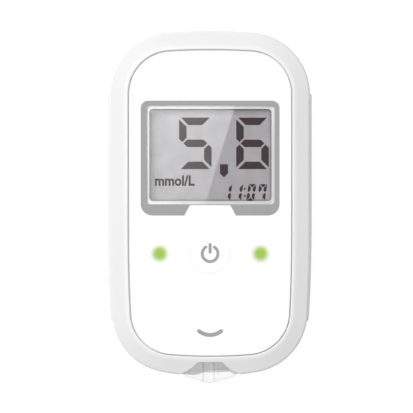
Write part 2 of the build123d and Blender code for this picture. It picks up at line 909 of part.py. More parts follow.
for side, place in zip(("left", "right"), light_places):
    with BuildPart() as light_pipe:
        with BuildSketch(Plane.XY.offset(recess_floor)):
            with Locations(place):
                Circle(lens_diameter / 2)
        extrude(amount=case_height - recess_floor)
        with BuildSketch(Plane.XY.offset(board_top + led_height + pipe_gap)):
            with Locations(place):
                Circle(pipe_diameter / 2)
        extrude(amount=recess_floor - board_top - led_height - pipe_gap)
    write(light_pipe, f"light_pipe_{side}")

    with BuildPart() as led:
        with BuildSketch(Plane.XY.offset(board_top)):
            with Locations(place):
                Rectangle(led_length, led_width)
        extrude(amount=led_height)
        chamfer(led.faces().sort_by(Axis.Z)[-1].edges(), led_chamfer)
    write(led, f"led_{side}")

# -------------------------------------------------------------------------- display

collar_width = window_width + 2 * collar_wall
collar_height = window_height + 2 * collar_wall
bezel_base = roof_base - bezel_plate  # the glass lies against this face
glass_top = bezel_base - polariser_thickness
glass_y = display_y - (glass_ledge - polariser_margin) / 2
upper_glass_base = glass_top - glass_thickness
lower_glass_top = upper_glass_base - segment_depth
lower_glass_base = lower_glass_top - glass_thickness
lower_glass_height = glass_height - glass_ledge
lower_glass_y = glass_y + glass_ledge / 2
reflector_base = lower_glass_base - reflector_thickness

with BuildPart() as display_bezel:
    with BuildSketch(Plane.XY.offset(board_top)):
        with Locations((window_shift, glass_y)):
            RectangleRounded(
                glass_width + 2 * (glass_clearance + bezel_wall),
                glass_height + 2 * (glass_clearance + bezel_wall),
                bezel_wall,
            )
    extrude(amount=roof_base - board_top)
    with BuildSketch(Plane.XY.offset(roof_base)):
        with Locations((window_shift, display_y)):
            RectangleRounded(collar_width, collar_height, window_corner + collar_wall)
    extrude(amount=recess_floor - roof_base)
    with BuildSketch(Plane.XY.offset(board_top)):
        with Locations((window_shift, glass_y)):
            Rectangle(glass_width + 2 * glass_clearance, glass_height + 2 * glass_clearance)
    extrude(amount=bezel_base - board_top, mode=Mode.SUBTRACT)
    # Straight lip next to the glass, then the bevel opening up to the window
    with BuildSketch(Plane.XY.offset(bezel_base)):
        with Locations((window_shift, display_y)):
            RectangleRounded(view_width, view_height, view_corner)
    extrude(amount=bezel_lip, mode=Mode.SUBTRACT)
    with BuildSketch(Plane.XY.offset(bezel_base + bezel_lip)):
        with Locations((window_shift, display_y)):
            RectangleRounded(view_width, view_height, view_corner)
    with BuildSketch(Plane.XY.offset(recess_floor)):
        with Locations((window_shift, display_y)):
            RectangleRounded(
                window_width - 2 * window_ledge, window_height - 2 * window_ledge, window_corner
            )
    loft(mode=Mode.SUBTRACT)
write(display_bezel, "display_bezel")

with BuildPart() as front_polariser:
    with BuildSketch(Plane.XY.offset(glass_top)):
        with Locations((window_shift, display_y)):
            Rectangle(view_width + 2 * polariser_margin, view_height + 2 * polariser_margin)
    extrude(amount=polariser_thickness)
write(front_polariser, "front_polariser")

with BuildPart() as lcd_upper_glass:
    with BuildSketch(Plane.XY.offset(upper_glass_base)):
        with Locations((window_shift, glass_y)):
            Rectangle(glass_width, glass_height)
    extrude(amount=glass_thickness)
write(lcd_upper_glass, "lcd_upper_glass")

with BuildPart() as lcd_lower_glass:
    with BuildSketch(Plane.XY.offset(lower_glass_base)):
        with Locations((window_shift, lower_glass_y)):
            Rectangle(glass_width, lower_glass_height)
    extrude(amount=glass_thickness)
write(lcd_lower_glass, "lcd_lower_glass")

with BuildPart() as rear_reflector:
    with BuildSketch(Plane.XY.offset(reflector_base)):
        with Locations((window_shift, lower_glass_y)):
            Rectangle(glass_width - 2 * polariser_margin, lower_glass_height - polariser_margin)
    extrude(amount=reflector_thickness)
write(rear_reflector, "rear_reflector")

lit_bars = {"0": "abcdef", "1": "bc", "5": "afgcd", "6": "afgecd", "7": "abcf"}
digit_y = display_y + digit_lift
clock_y = display_y - clock_drop
clock_x = window_shift + clock_shift
clock_offsets = [0, clock_pitch, 2 * clock_pitch + colon_space, 3 * clock_pitch + colon_space]
colon_x = clock_x + (clock_offsets[1] + clock_offsets[2]) / 2
point_x = window_shift + point_shift
point_y = display_y - point_drop

with BuildPart() as lcd_segments:
    with BuildSketch(Plane.XY.offset(lower_glass_top)):
        for index, figure in enumerate(large_figures):
            with Locations((window_shift - digit_shift + index * digit_pitch, digit_y)):
                add(figure_face(lit_bars[figure], digit_width, digit_height, digit_stroke, digit_gap))
        with Locations((point_x, point_y)):
            Polygon(
                (-point_width / 2, 0),
                (point_width / 2, 0),
                (point_width / 2, -point_height),
                (0, -point_height - point_tip),
                (-point_width / 2, -point_height),
                align=None,
            )
        for offset_x, figure in zip(clock_offsets, clock_figures):
            with Locations((clock_x + offset_x, clock_y)):
                add(
                    figure_face(
                        lit_bars[figure], clock_width, clock_height, clock_stroke, clock_gap, clock_slant
                    )
                )
        with Locations((colon_x, clock_y)):
            with GridLocations(0, colon_pitch, 1, 2):
                Circle(colon_dot / 2)
    extrude(amount=segment_depth)
write(lcd_segments, "lcd_segments")

with BuildPart() as lcd_connector:
    with BuildSketch(Plane.XY.offset(board_top)):
        with Locations((window_shift, glass_y - glass_height / 2 + glass_ledge / 2)):
            Rectangle(connector_strip_length, connector_strip_width)
    extrude(amount=upper_glass_base - board_top)
write(lcd_connector, "lcd_connector")

with BuildPart() as lcd_foam_pad:
    with BuildSketch(Plane.XY.offset(board_top)):
        with Locations((window_shift, glass_y + glass_height / 2 - foam_width)):
            Rectangle(connector_strip_length, foam_width)
    extrude(amount=reflector_base - board_top)
write(lcd_foam_pad, "lcd_foam_pad")

# --------------------------------------------------------------------- circuit board

controller_place = (controller_x, board_end + controller_rise)
crystal_place = (crystal_x, board_end + controller_rise)

with BuildPart() as main_board:
    with BuildSketch(Plane.XY.offset(board_height)):
        add(case_outline.inset(case_wall + board_clearance).face())
        with Locations((0, board_end)):
            Rectangle(case_width, case_length, align=(Align.CENTER, Align.MIN), mode=Mode.INTERSECT)
        with Locations(*screw_places):
            Circle(screw_diameter / 2 + screw_hole_clearance, mode=Mode.SUBTRACT)
    extrude(amount=board_thickness)
write(main_board, "main_board")

with BuildPart() as controller_chip:
    with BuildSketch(Plane.XY.offset(board_height)):
        with Locations(controller_place):
            Rectangle(controller_size, controller_size)
    extrude(amount=-controller_height)
    chamfer(controller_chip.faces().sort_by(Axis.Z)[0].edges(), controller_chamfer)
    # Flat leads along all four sides
    with BuildSketch(Plane.XY.offset(board_height)):
        with Locations(controller_place):
            with GridLocations(controller_size + controller_lead, lead_pitch, 2, lead_count):
                Rectangle(controller_lead, lead_width)
            with GridLocations(lead_pitch, controller_size + controller_lead, lead_count, 2):
                Rectangle(lead_width, controller_lead)
    extrude(amount=-lead_thickness)
write(controller_chip, "controller_chip")

with BuildPart() as crystal:
    with BuildSketch(Plane.XY.offset(board_height)):
        with Locations(crystal_place):
            SlotOverall(crystal_length, crystal_width, rotation=90)
    extrude(amount=-crystal_height)
write(crystal, "crystal")

with BuildPart() as chip_components:
    with BuildSketch(Plane.XY.offset(board_height)):
        with Locations((controller_x, board_end + chip_rise)):
            with GridLocations(chip_column_pitch, chip_row_pitch, chip_columns, chip_rows):
                Rectangle(chip_length, chip_width)
    extrude(amount=-chip_height)
write(chip_components, "chip_components")

with BuildPart() as buzzer:
    with BuildSketch(Plane.XY.offset(board_height)):
        with Locations(buzzer_place):
            Circle(buzzer_diameter / 2)
    extrude(amount=-buzzer_height)
    with BuildSketch(Plane.XY.offset(board_height - buzzer_height)):
        with Locations(buzzer_place):
            Circle(buzzer_bore / 2)
    extrude(amount=buzzer_bore_depth, mode=Mode.SUBTRACT)
write(buzzer, "buzzer")

# -------------------------------------------------------------------- test strip port

socket_front = board_end + guide_clearance
strip_slot_top = strip_plane + strip_slot_height
contact_z = strip_slot_top + contact_groove_height / 2
tongue_tip = y_bottom - tongue_reach
tongue_side_y = tongue_tip + tongue_shoulder

with BuildPart() as strip_guide:
    # Floor of the notch
    with BuildSketch(Plane.XY.offset(guide_base)):
        add(notch_face(guide_clearance, guide_clearance))
        with Locations((port_shift, tongue_side_y)):
            Rectangle(
                notch_mouth, notch_depth * 2, align=(Align.CENTER, Align.MIN), mode=Mode.INTERSECT
            )
        add(case_outline.inset(rear_step).face(), mode=Mode.INTERSECT)
    extrude(amount=guide_thickness)
    # Tongue standing out below the case
    with BuildSketch(Plane.XY.offset(guide_base)) as tongue:
        with Locations((port_shift, tongue_tip)):
            Polygon(
                (0, 0),
                (tongue_width / 2, tongue_shoulder),
                (tongue_width / 2, tongue_shoulder + tongue_root),
                (-tongue_width / 2, tongue_shoulder + tongue_root),
                (-tongue_width / 2, tongue_shoulder),
                align=None,
            )
        fillet(tongue.vertices().sort_by(Axis.Y)[0], tongue_nose)
    extrude(amount=guide_thickness)
    # Neck running in to the strip socket above the circuit board
    with BuildSketch(Plane.XY.offset(board_top + guide_neck_floor)):
        with Locations((port_shift, socket_front - guide_clearance)):
            Rectangle(
                guide_neck_width,
                socket_front - notch_y + guide_clearance,
                align=(Align.CENTER, Align.MAX),
            )
    extrude(amount=guide_floor - board_top - guide_neck_floor)
    # Ribs that carry the strip, each with one sloping flank
    with BuildSketch(Plane.XZ.offset(guide_clearance - socket_front)):
        with Locations((port_shift, guide_floor)):
            with GridLocations(guide_rib_pitch, 0, 2, 1):
                Polygon(
                    (-guide_rib_width / 2, 0),
                    (guide_rib_width / 2, 0),
                    (guide_rib_width / 2, guide_rib_height),
                    (guide_rib_lead - guide_rib_width / 2, guide_rib_height),
                    align=None,
                )
    extrude(amount=socket_front - guide_clearance - tongue_tip - guide_rib_setback)
write(strip_guide, "strip_guide")

with BuildPart() as strip_socket:
    with BuildSketch(Plane.XY.offset(board_top)):
        with Locations((port_shift, socket_front)):
            Rectangle(socket_width, socket_length, align=(Align.CENTER, Align.MIN))
    extrude(amount=socket_height)
    chamfer(strip_socket.faces().sort_by(Axis.Z)[-1].edges(), socket_roof_chamfer)
    with BuildSketch(Plane.XY.offset(strip_plane)):
        with Locations((port_shift, socket_front)):
            Rectangle(socket_slot_width, socket_slot_depth, align=(Align.CENTER, Align.MIN))
    extrude(amount=strip_slot_height, mode=Mode.SUBTRACT)
    with BuildSketch(Plane.XY.offset(strip_slot_top)):
        with Locations((port_shift, socket_front + socket_length / 2)):
            with GridLocations(contact_pitch, 0, contact_count, 1):
                Rectangle(contact_groove_width, socket_length)
    extrude(amount=contact_groove_height, mode=Mode.SUBTRACT)
write(strip_socket, "strip_socket")

socket_back = socket_front + socket_length
heel_y = socket_back + contact_heel
contact_first = port_shift - (contact_count - 1) * contact_pitch / 2

with BuildPart() as strip_contacts:
    for index in range(contact_count):
        middle = contact_first + index * contact_pitch
        with BuildSketch(Plane.YZ.offset(middle - contact_width / 2)):
            with BuildLine() as blade:
                Polyline(
                    (heel_y + contact_foot, board_top + contact_thickness / 2),
                    (heel_y, board_top + contact_thickness / 2),
                    (heel_y, contact_z),
                    (socket_front + contact_knee, contact_z),
                    (socket_front + contact_touch, strip_plane + contact_thickness),
                    (socket_front + contact_tip, contact_z),
                )
            trace(blade.line, contact_thickness)
        extrude(amount=contact_width)
write(strip_contacts, "strip_contacts")

# -------------------------------------------------------------------------- batteries

for side, place in zip(("left", "right"), cell_places):
    with BuildPart() as coin_cell:
        with BuildSketch(Plane.XY.offset(cell_base)):
            with Locations(place):
                Circle(cell_diameter / 2)
        extrude(amount=cell_height)
        chamfer(coin_cell.edges().filter_by(GeomType.CIRCLE), cell_chamfer)
    write(coin_cell, f"coin_cell_{side}")

spring_z = bay_top - spring_thickness
spring_touch = cell_top + spring_thickness / 2

with BuildPart() as spring_contacts:
    for cell_x, _ in cell_places:
        with BuildSketch(Plane.YZ.offset(cell_x - spring_width / 2)):
            with BuildLine() as leaf:
                Polyline(
                    (spring_slot_y, board_height),
                    (spring_slot_y, spring_z),
                    (bay_y + spring_knee, spring_z),
                    (bay_y - spring_reach, spring_touch),
                    (bay_y - spring_knee, spring_z),
                )
            trace(leaf.line, spring_thickness)
            with Locations((bay_y, board_height)):
                Rectangle(
                    cell_diameter, spring_thickness, align=(Align.CENTER, Align.MIN), mode=Mode.SUBTRACT
                )
        extrude(amount=spring_width)
write(spring_contacts, "spring_contacts")

with BuildPart() as side_contacts:
    with BuildSketch(Plane.XY.offset(cell_base)):
        with Locations(*[(side * side_contact_x, bay_y) for side in (-1, 1)]):
            Rectangle(spring_thickness, side_contact_width)
    extrude(amount=board_height - cell_base)
write(side_contacts, "side_contacts")

# ----------------------------------------------------------------------- battery door

grip_y = door_foot + finger_reach

with BuildPart() as battery_door:
    with BuildSketch() as door_plate:
        with Locations((0, door_foot)):
            Rectangle(door_width, hinge_y - door_foot, align=(Align.CENTER, Align.MIN))
        fillet(door_plate.vertices().group_by(Axis.Y)[0], door_corner - door_gap)
    extrude(amount=door_thickness)
    # Hinge barrel with a pin at each end
    with BuildSketch(Plane.YZ.offset(-door_width / 2)):
        with Locations((hinge_y, hinge_z)):
            Circle(hinge_radius)
    extrude(amount=door_width)
    with BuildSketch(Plane.YZ.offset(-door_width / 2 - hinge_pin_reach)):
        with Locations((hinge_y, hinge_z)):
            Circle(hinge_pin_radius)
    extrude(amount=door_width + 2 * hinge_pin_reach)
    # Latch tongue, finger edge and grip grooves
    with BuildSketch(Plane.XY.offset(door_thickness)):
        with Locations((0, latch_y)):
            Rectangle(latch_width, latch_thickness)
    extrude(amount=latch_height)
    with BuildSketch():
        with Locations((0, grip_y)):
            with GridLocations(0, grip_pitch, 1, grip_count):
                SlotOverall(grip_length, grip_width)
    extrude(amount=grip_depth, mode=Mode.SUBTRACT)
write(battery_door, "battery_door")

# ------------------------------------------------------------------- screws and label

head_base = screw_recess
shank_base = screw_recess + screw_head_height

with BuildPart() as case_screws:
    with BuildSketch(Plane.XY.offset(head_base)):
        with Locations(*screw_places):
            Circle(screw_head_diameter / 2)
    extrude(amount=screw_head_height)
    chamfer(case_screws.edges().group_by(Axis.Z)[0], screw_head_chamfer)
    with BuildSketch(Plane.XY.offset(shank_base)):
        with Locations(*screw_places):
            Circle(screw_diameter / 2)
    extrude(amount=board_top + screw_reach - shank_base)
    with BuildSketch(Plane.XY.offset(head_base)):
        with Locations(*screw_places):
            Rectangle(cross_length, cross_width)
            Rectangle(cross_width, cross_length)
    extrude(amount=cross_depth, mode=Mode.SUBTRACT)
write(case_screws, "case_screws")

with BuildPart() as rear_label:
    with BuildSketch(Plane.XY.offset(label_recess)):
        with Locations((0, label_y)):
            RectangleRounded(
                label_width - 2 * label_clearance,
                label_height - 2 * label_clearance,
                label_corner - label_clearance,
            )
    extrude(amount=-label_thickness)
write(rear_label, "rear_label")
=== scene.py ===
"""Looks for a handheld blood glucose meter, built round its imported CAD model."""

from __future__ import annotations

import json
import logging
import math
from abc import ABC, abstractmethod
from dataclasses import dataclass, field, fields
from enum import Enum
from itertools import pairwise
from typing import Any

import bmesh
import bpy
from mathutils import Matrix, Vector

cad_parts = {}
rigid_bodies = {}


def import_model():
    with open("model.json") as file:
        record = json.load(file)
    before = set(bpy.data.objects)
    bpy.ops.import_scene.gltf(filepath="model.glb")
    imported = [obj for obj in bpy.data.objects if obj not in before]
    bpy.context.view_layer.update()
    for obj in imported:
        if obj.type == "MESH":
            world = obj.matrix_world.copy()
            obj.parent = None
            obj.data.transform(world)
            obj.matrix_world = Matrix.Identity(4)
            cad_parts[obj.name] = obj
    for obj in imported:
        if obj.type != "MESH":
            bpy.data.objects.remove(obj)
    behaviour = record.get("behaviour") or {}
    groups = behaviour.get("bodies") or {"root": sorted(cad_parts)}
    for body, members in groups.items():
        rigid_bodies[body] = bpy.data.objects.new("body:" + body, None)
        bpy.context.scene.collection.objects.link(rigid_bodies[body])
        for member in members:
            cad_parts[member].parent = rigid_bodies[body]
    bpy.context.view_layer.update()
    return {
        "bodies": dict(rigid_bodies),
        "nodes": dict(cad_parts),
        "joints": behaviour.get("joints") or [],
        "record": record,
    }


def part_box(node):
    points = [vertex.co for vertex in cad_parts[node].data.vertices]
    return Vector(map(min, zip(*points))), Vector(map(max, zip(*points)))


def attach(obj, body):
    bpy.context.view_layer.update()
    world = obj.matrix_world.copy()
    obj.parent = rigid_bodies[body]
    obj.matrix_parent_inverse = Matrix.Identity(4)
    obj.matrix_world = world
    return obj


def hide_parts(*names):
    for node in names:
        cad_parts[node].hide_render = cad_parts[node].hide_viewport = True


MM = 0.001
CASE_BODY = "case"
NOISE_LOW, NOISE_HIGH = 0.3, 0.7  # between which nearly all of a noise texture lies
MERGE_MM = 0.002  # points nearer than this are one
FLAT_DEGREES = 0.5  # faces that turn less than this are one

logger = logging.getLogger("glucose_meter")

Frame = dict[str, Any]
Socket = bpy.types.NodeSocket
Tree = bpy.types.NodeTree
Outline = tuple[tuple[float, float], ...]


class MixSide(Enum):
    """Numbers of a Mix node's sockets when it blends colours."""

    FACTOR = 0
    FIRST = 6
    SECOND = 7
    RESULT = 2


class Ray(Enum):
    """Outputs of Light Path that tell how a ray came to a surface."""

    CAMERA = "Is Camera Ray"
    GLOSSY = "Is Glossy Ray"
    TRANSMISSION = "Is Transmission Ray"
    SHEETS_PASSED = "Transparent Depth"


# ------------------------------------------------------------------- node and mesh tools


def linear(hex_colour: str) -> tuple[float, float, float, float]:
    """The linear colour, with full alpha, of an sRGB hex value.

    Args:
        hex_colour: Six hexadecimal digits, with or without a leading hash.

    Returns:
        Red, green, blue and alpha as Blender's sockets take them.
    """
    digits = hex_colour.lstrip("#")
    channels = [int(digits[start : start + 2], 16) / 255 for start in (0, 2, 4)]
    red, green, blue = (c / 12.92 if c <= 0.04045 else ((c + 0.055) / 1.055) ** 2.4 for c in channels)
    return red, green, blue, 1.0


def add_node(tree: Tree, kind: str, inputs: dict[str | int, Any] | None = None, **settings: Any) -> Any:
    """Add one node with its settings, constants and links.

    Args:
        tree: The tree that gets the node.
        kind: Blender's type name of the node.
        inputs: Constant, socket to link or list of sockets to link, by the input's name or number.
        **settings: Attributes to set before the inputs.

    Returns:
        The new node.
    """
    made = tree.nodes.new(kind)
    for name, value in settings.items():
        setattr(made, name, value)
    for key, value in (inputs or {}).items():
        sources = [value] if isinstance(value, Socket) else value
        if isinstance(sources, list):
            for source in sources:
                tree.links.new(source, made.inputs[key])
        else:
            made.inputs[key].default_value = value
    return made


def object_point(tree: Tree) -> Socket:
    """The shaded point in metres, in the piece's own frame, which at rest is the one all pieces share."""
    return add_node(tree, "ShaderNodeTexCoord").outputs["Object"]


def reach_along(tree: Tree, direction: tuple[float, float, float]) -> Socket:
    """How far the shaded point lies along a direction, in metres times the direction's length."""
    inputs = {0: object_point(tree), 1: direction}
    return add_node(tree, "ShaderNodeVectorMath", inputs, operation="DOT_PRODUCT").outputs["Value"]


def speckle(tree: Tree, size_mm: float, detail: float = 2.0, squeeze: float = 1.0) -> Socket:
    """Soft noise between about NOISE_LOW and NOISE_HIGH.

    Args:
        tree: The material's tree.
        size_mm: How large the noise's features are.
        detail: How many finer layers of noise lie over the first.
        squeeze: Share of its length to which a piece is squeezed along X first, which draws features out.

    Returns:
        The noise.
    """
    scale = {0: object_point(tree), 1: (squeeze, 1.0, 1.0)}
    place = add_node(tree, "ShaderNodeVectorMath", scale, operation="MULTIPLY").outputs[0]
    inputs = {"Vector": place, "Scale": 1 / (size_mm * MM), "Detail": detail}
    return add_node(tree, "ShaderNodeTexNoise", inputs).outputs[0]


def spread(
    tree: Tree,
    value: Socket,
    low: float = 0.0,
    high: float = 1.0,
    start: float = NOISE_LOW,
    end: float = NOISE_HIGH,
) -> Socket:
    """Map a value that runs from start to end onto low to high.

    Args:
        tree: The material's tree.
        value: The value to map.
        low: Result at start.
        high: Result at end.
        start: Where the value begins.
        end: Where the value ends.

    Returns:
        The mapped value, clamped.
    """
    inputs = {"Value": value, "From Min": start, "From Max": end, "To Min": low, "To Max": high}
    return add_node(tree, "ShaderNodeMapRange", inputs).outputs[0]


def patches(tree: Tree, size_mm: float, low: float = 0.0, high: float = 1.0) -> Socket:
    """Soft patches size_mm across, from low to high."""
    return spread(tree, speckle(tree, size_mm), low, high)


def blend_colours(tree: Tree, amount: Socket, *colours: str | Socket) -> Socket:
    """Blend two colours, each a hex value or a socket, by a value from 0 to 1."""
    first, second = (linear(each) if isinstance(each, str) else each for each in colours)
    inputs = {MixSide.FACTOR.value: amount, MixSide.FIRST.value: first, MixSide.SECOND.value: second}
    return add_node(tree, "ShaderNodeMix", inputs, data_type="RGBA").outputs[MixSide.RESULT.value]


def relief(tree: Tree, height: Socket, depth_mm: float) -> Socket:
    """The normal of a surface that rises by depth_mm as height goes from 0 to 1."""
    return add_node(tree, "ShaderNodeBump", {"Height": height, "Distance": depth_mm * MM}).outputs[0]


def seen_directly(tree: Tree) -> Socket:
    """One for rays from the camera, a mirror surface or clear plastic, and nought for others."""
    path = add_node(tree, "ShaderNodeLightPath").outputs
    seen = path[Ray.CAMERA.value]
    for other in (Ray.GLOSSY, Ray.TRANSMISSION):
        either = {0: seen, 1: path[other.value]}
        seen = add_node(tree, "ShaderNodeMath", either, operation="MAXIMUM").outputs[0]
    return seen


def mesh_piece(
    name: str,
    corners: list[Vector],
    faces: list[tuple[int, ...]],
    edges: list[tuple[int, int]] | None = None,
) -> bpy.types.Object:
    """Add a mesh object whose place is in its vertices.

    Args:
        name: The piece's name.
        corners: Vertices in metres.
        faces: Vertex numbers of each face, counter-clockwise from outside.
        edges: Vertex numbers of edges that belong to no face.

    Returns:
        The object, at the origin.
    """
    mesh = bpy.data.meshes.new(name)
    mesh.from_pydata([tuple(corner) for corner in corners], edges or [], faces)
    return show(name, mesh)


def show(name: str, mesh: bpy.types.Mesh) -> bpy.types.Object:
    """Put a mesh in the scene as an object at the origin."""
    mesh.validate()
    piece = bpy.data.objects.new(name, mesh)
    bpy.context.scene.collection.objects.link(piece)
    return piece


def kept(shape: bmesh.types.BMesh, name: str) -> bpy.types.Object:
    """Put a finished BMesh in the scene as an object at the origin, and free it."""
    mesh = bpy.data.meshes.new(name)
    shape.to_mesh(mesh)
    shape.free()
    return show(name, mesh)


def frozen(source: bpy.types.Object, name: str) -> bpy.types.Object:
    """Turn what an object's modifiers make of it into a plain mesh piece, and drop the object.

    Args:
        source: The object with live modifiers.
        name: The name of the plain piece.

    Returns:
        The plain piece, at the origin.
    """
    seen = source.evaluated_get(bpy.context.evaluated_depsgraph_get())
    mesh = bpy.data.meshes.new_from_object(seen)
    mesh.name = name
    bpy.data.objects.remove(source)
    return show(name, mesh)


def merged_copy(frame: Frame, node: str, name: str) -> bpy.types.Object:
    """Copy a CAD node's shape with its doubles merged and its flat faces whole.

    Args:
        frame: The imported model.
        node: The CAD node to copy.
        name: The copy's name.

    Returns:
        The copy, at the origin.
    """
    shape = bmesh.new()
    shape.from_mesh(frame["nodes"][node].data)
    bmesh.ops.remove_doubles(shape, verts=shape.verts, dist=MERGE_MM * MM)
    flat = math.radians(FLAT_DEGREES)
    bmesh.ops.dissolve_limit(shape, angle_limit=flat, verts=shape.verts, edges=shape.edges)
    return kept(shape, name)


def turned(name: str, profile: list[tuple[float, float]], centre: Vector, steps: int) -> bpy.types.Object:
    """Make a turned part from half its section.

    Args:
        name: The piece's name.
        profile: Radius and height of each point in metres, from axis to axis.
        centre: Where the axis stands.
        steps: Number of sides round the part.

    Returns:
        The closed part, at the origin.
    """
    shape = bmesh.new()
    rail = [shape.verts.new((radius, 0.0, height)) for radius, height in profile]
    edges = [shape.edges.new(pair) for pair in pairwise(rail)]
    bmesh.ops.spin(
        shape,
        geom=rail + edges,
        cent=(0.0, 0.0, 0.0),
        axis=(0.0, 0.0, 1.0),
        angle=math.tau,
        steps=steps,
        use_merge=True,
    )
    bmesh.ops.remove_doubles(shape, verts=shape.verts, dist=MERGE_MM * MM)
    bmesh.ops.recalc_face_normals(shape, faces=shape.faces)
    bmesh.ops.translate(shape, verts=shape.verts, vec=centre)
    return kept(shape, name)


def smooth_by_angle(piece: bpy.types.Object, degrees: float) -> None:
    """Shade a piece smooth, but for edges sharper than an angle."""
    shape = bmesh.new()
    shape.from_mesh(piece.data)
    for face in shape.faces:
        face.smooth = True
    for edge in shape.edges:
        edge.smooth = len(edge.link_faces) == 2 and edge.calc_face_angle() < math.radians(degrees)
    shape.to_mesh(piece.data)
    shape.free()


def plan_point(x_mm: float, y_mm: float, z_mm: float) -> Vector:
    """A point given in millimetres."""
    return Vector((x_mm, y_mm, z_mm)) * MM


def middle_mm(node: str) -> Vector:
    """The middle of a CAD node's box, in millimetres."""
    low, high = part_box(node)
    return (Vector(low) + Vector(high)) / 2 / MM


# ------------------------------------------------------------------------------ finishes


class Finish(ABC):
    """A surface finish that makes its own material once and then shares it."""

    name: str

    def material(self) -> bpy.types.Material:
        """The material of this finish."""
        found = bpy.data.materials.get(self.name)
        if found is None:
            found = bpy.data.materials.new(self.name)
            found.use_nodes = True
            found.node_tree.nodes.clear()
            surface = self.surface(found.node_tree)
            add_node(found.node_tree, "ShaderNodeOutputMaterial", {"Surface": surface})
        return found

    @abstractmethod
    def surface(self, tree: Tree) -> Socket:
        """Build the finish's nodes in tree and return the shader."""


@dataclass(frozen=True)
class Pigmented(Finish):
    """An opaque finish in two near colours that a pattern blends."""

    name: str
    colour: str
    colour_far: str

    def surface(self, tree: Tree) -> Socket:
        """Build the finish's nodes in tree and return the shader."""
        return add_node(tree, "ShaderNodeBsdfPrincipled", self.inputs(tree)).outputs[0]

    @abstractmethod
    def inputs(self, tree: Tree) -> dict[str, Any]:
        """Build what the shader's inputs get and return it by their names."""

    def tint(self, tree: Tree, amount: Socket) -> Socket:
        """The first colour where amount is nought, and the far one where it is one."""
        return blend_colours(tree, amount, self.colour, self.colour_far)


@dataclass(frozen=True)
class MouldedPlastic(Pigmented):
    """Moulded plastic or pressed ceramic: even colour, soft gloss, faint texture from the mould."""

    roughness: float = 0.35
    roughness_swing: float = 0.04
    texture_mm: float = 0.35
    texture_detail: float = 3.0
    texture_depth_mm: float = 0.002
    patch_mm: float = 11.0
    ior: float = 1.54

    def inputs(self, tree: Tree) -> dict[str, Any]:
        """Build what the shader's inputs get and return it by their names."""
        texture = speckle(tree, self.texture_mm, self.texture_detail)
        smoothest, roughest = self.roughness - self.roughness_swing, self.roughness + self.roughness_swing
        return {
            "Base Color": self.tint(tree, self.unevenness(tree)),
            "Roughness": spread(tree, texture, smoothest, roughest),
            "IOR": self.ior,
            "Normal": relief(tree, texture, self.texture_depth_mm),
        }

    def unevenness(self, tree: Tree) -> Socket:
        """Nought where the colour is the first one, and one where it is the far one."""
        return patches(tree, self.patch_mm)


@dataclass(frozen=True)
class CrestedShell(MouldedPlastic):
    """Moulded ABS with a painted highlight: its crest is tinted lighter, where the studio lights it too
    little.
    """

    crest_mm: float = 0.0
    tinted_mm: float = 0.28

    def unevenness(self, tree: Tree) -> Socket:
        """Nought below the crest, and one at its top."""
        rise = reach_along(tree, (0.0, 0.0, 1.0))
        return spread(tree, rise, start=(self.crest_mm - self.tinted_mm) * MM, end=self.crest_mm * MM)


@dataclass(frozen=True)
class WindowRim(MouldedPlastic):
    """Satin ABS round a window, with painted light and shade in its tint, which make up for the studio's
    light and aren't the rim's own colour.

    It is lighter at the upper left, which gets too little light there, and darker at the lower right,
    which gets too much.
    """

    middle_x_mm: float = 0.0
    middle_y_mm: float = 0.0
    reach_mm: float = 15.0

    def unevenness(self, tree: Tree) -> Socket:
        """Nought at the window's upper left, and one at its lower right."""
        slant = reach_along(tree, (1.0, -1.0, 0.0))
        middle = self.middle_x_mm - self.middle_y_mm
        start, end = (middle + side * self.reach_mm for side in (-1, 1))
        return spread(tree, slant, start=start * MM, end=end * MM)


@dataclass(frozen=True)
class GlossyFilm(Pigmented):
    """Polycarbonate film printed white from behind: deep even white under a hard glossy coat."""

    patch_mm: float = 14.0
    grain_mm: float = 0.5
    smoothest: float = 0.42
    roughest: float = 0.5
    ior: float = 1.45
    wave_mm: float = 6.0
    wave_detail: float = 1.0
    wave_depth_mm: float = 0.0015
    coat_roughness: float = 0.04
    coat_ior: float = 1.5

    def inputs(self, tree: Tree) -> dict[str, Any]:
        """Build what the shader's inputs get and return it by their names."""
        wave = speckle(tree, self.wave_mm, self.wave_detail)
        return {
            "Base Color": self.tint(tree, patches(tree, self.patch_mm)),
            "Roughness": patches(tree, self.grain_mm, self.smoothest, self.roughest),
            "IOR": self.ior,
            "Coat Weight": 1.0,
            "Coat Roughness": self.coat_roughness,
            "Coat IOR": self.coat_ior,
            "Coat Normal": relief(tree, wave, self.wave_depth_mm),
        }


@dataclass(frozen=True)
class ScreenInk(Pigmented):
    """Screen-printed ink: flat colour with the faint square cells that the printing mesh leaves."""

    mesh_mm: float = 0.3  # a real mesh is near 0.1, drawn coarser so that it shows
    mesh_depth_mm: float = 0.002
    mesh_reach: float = 0.6
    patch_mm: float = 1.2
    smoothest: float = 0.45
    roughest: float = 0.55
    ior: float = 1.5

    def inputs(self, tree: Tree) -> dict[str, Any]:
        """Build what the shader's inputs get and return it by their names."""
        squares = {"Vector": object_point(tree), "Scale": 1 / (self.mesh_mm * MM)}
        mesh = add_node(tree, "ShaderNodeTexVoronoi", squares, distance="CHEBYCHEV").outputs["Distance"]
        return {
            "Base Color": self.tint(tree, patches(tree, self.patch_mm)),
            "Roughness": spread(tree, mesh, self.smoothest, self.roughest, 0.0, self.mesh_reach),
            "IOR": self.ior,
            "Normal": relief(tree, mesh, self.mesh_depth_mm),
        }


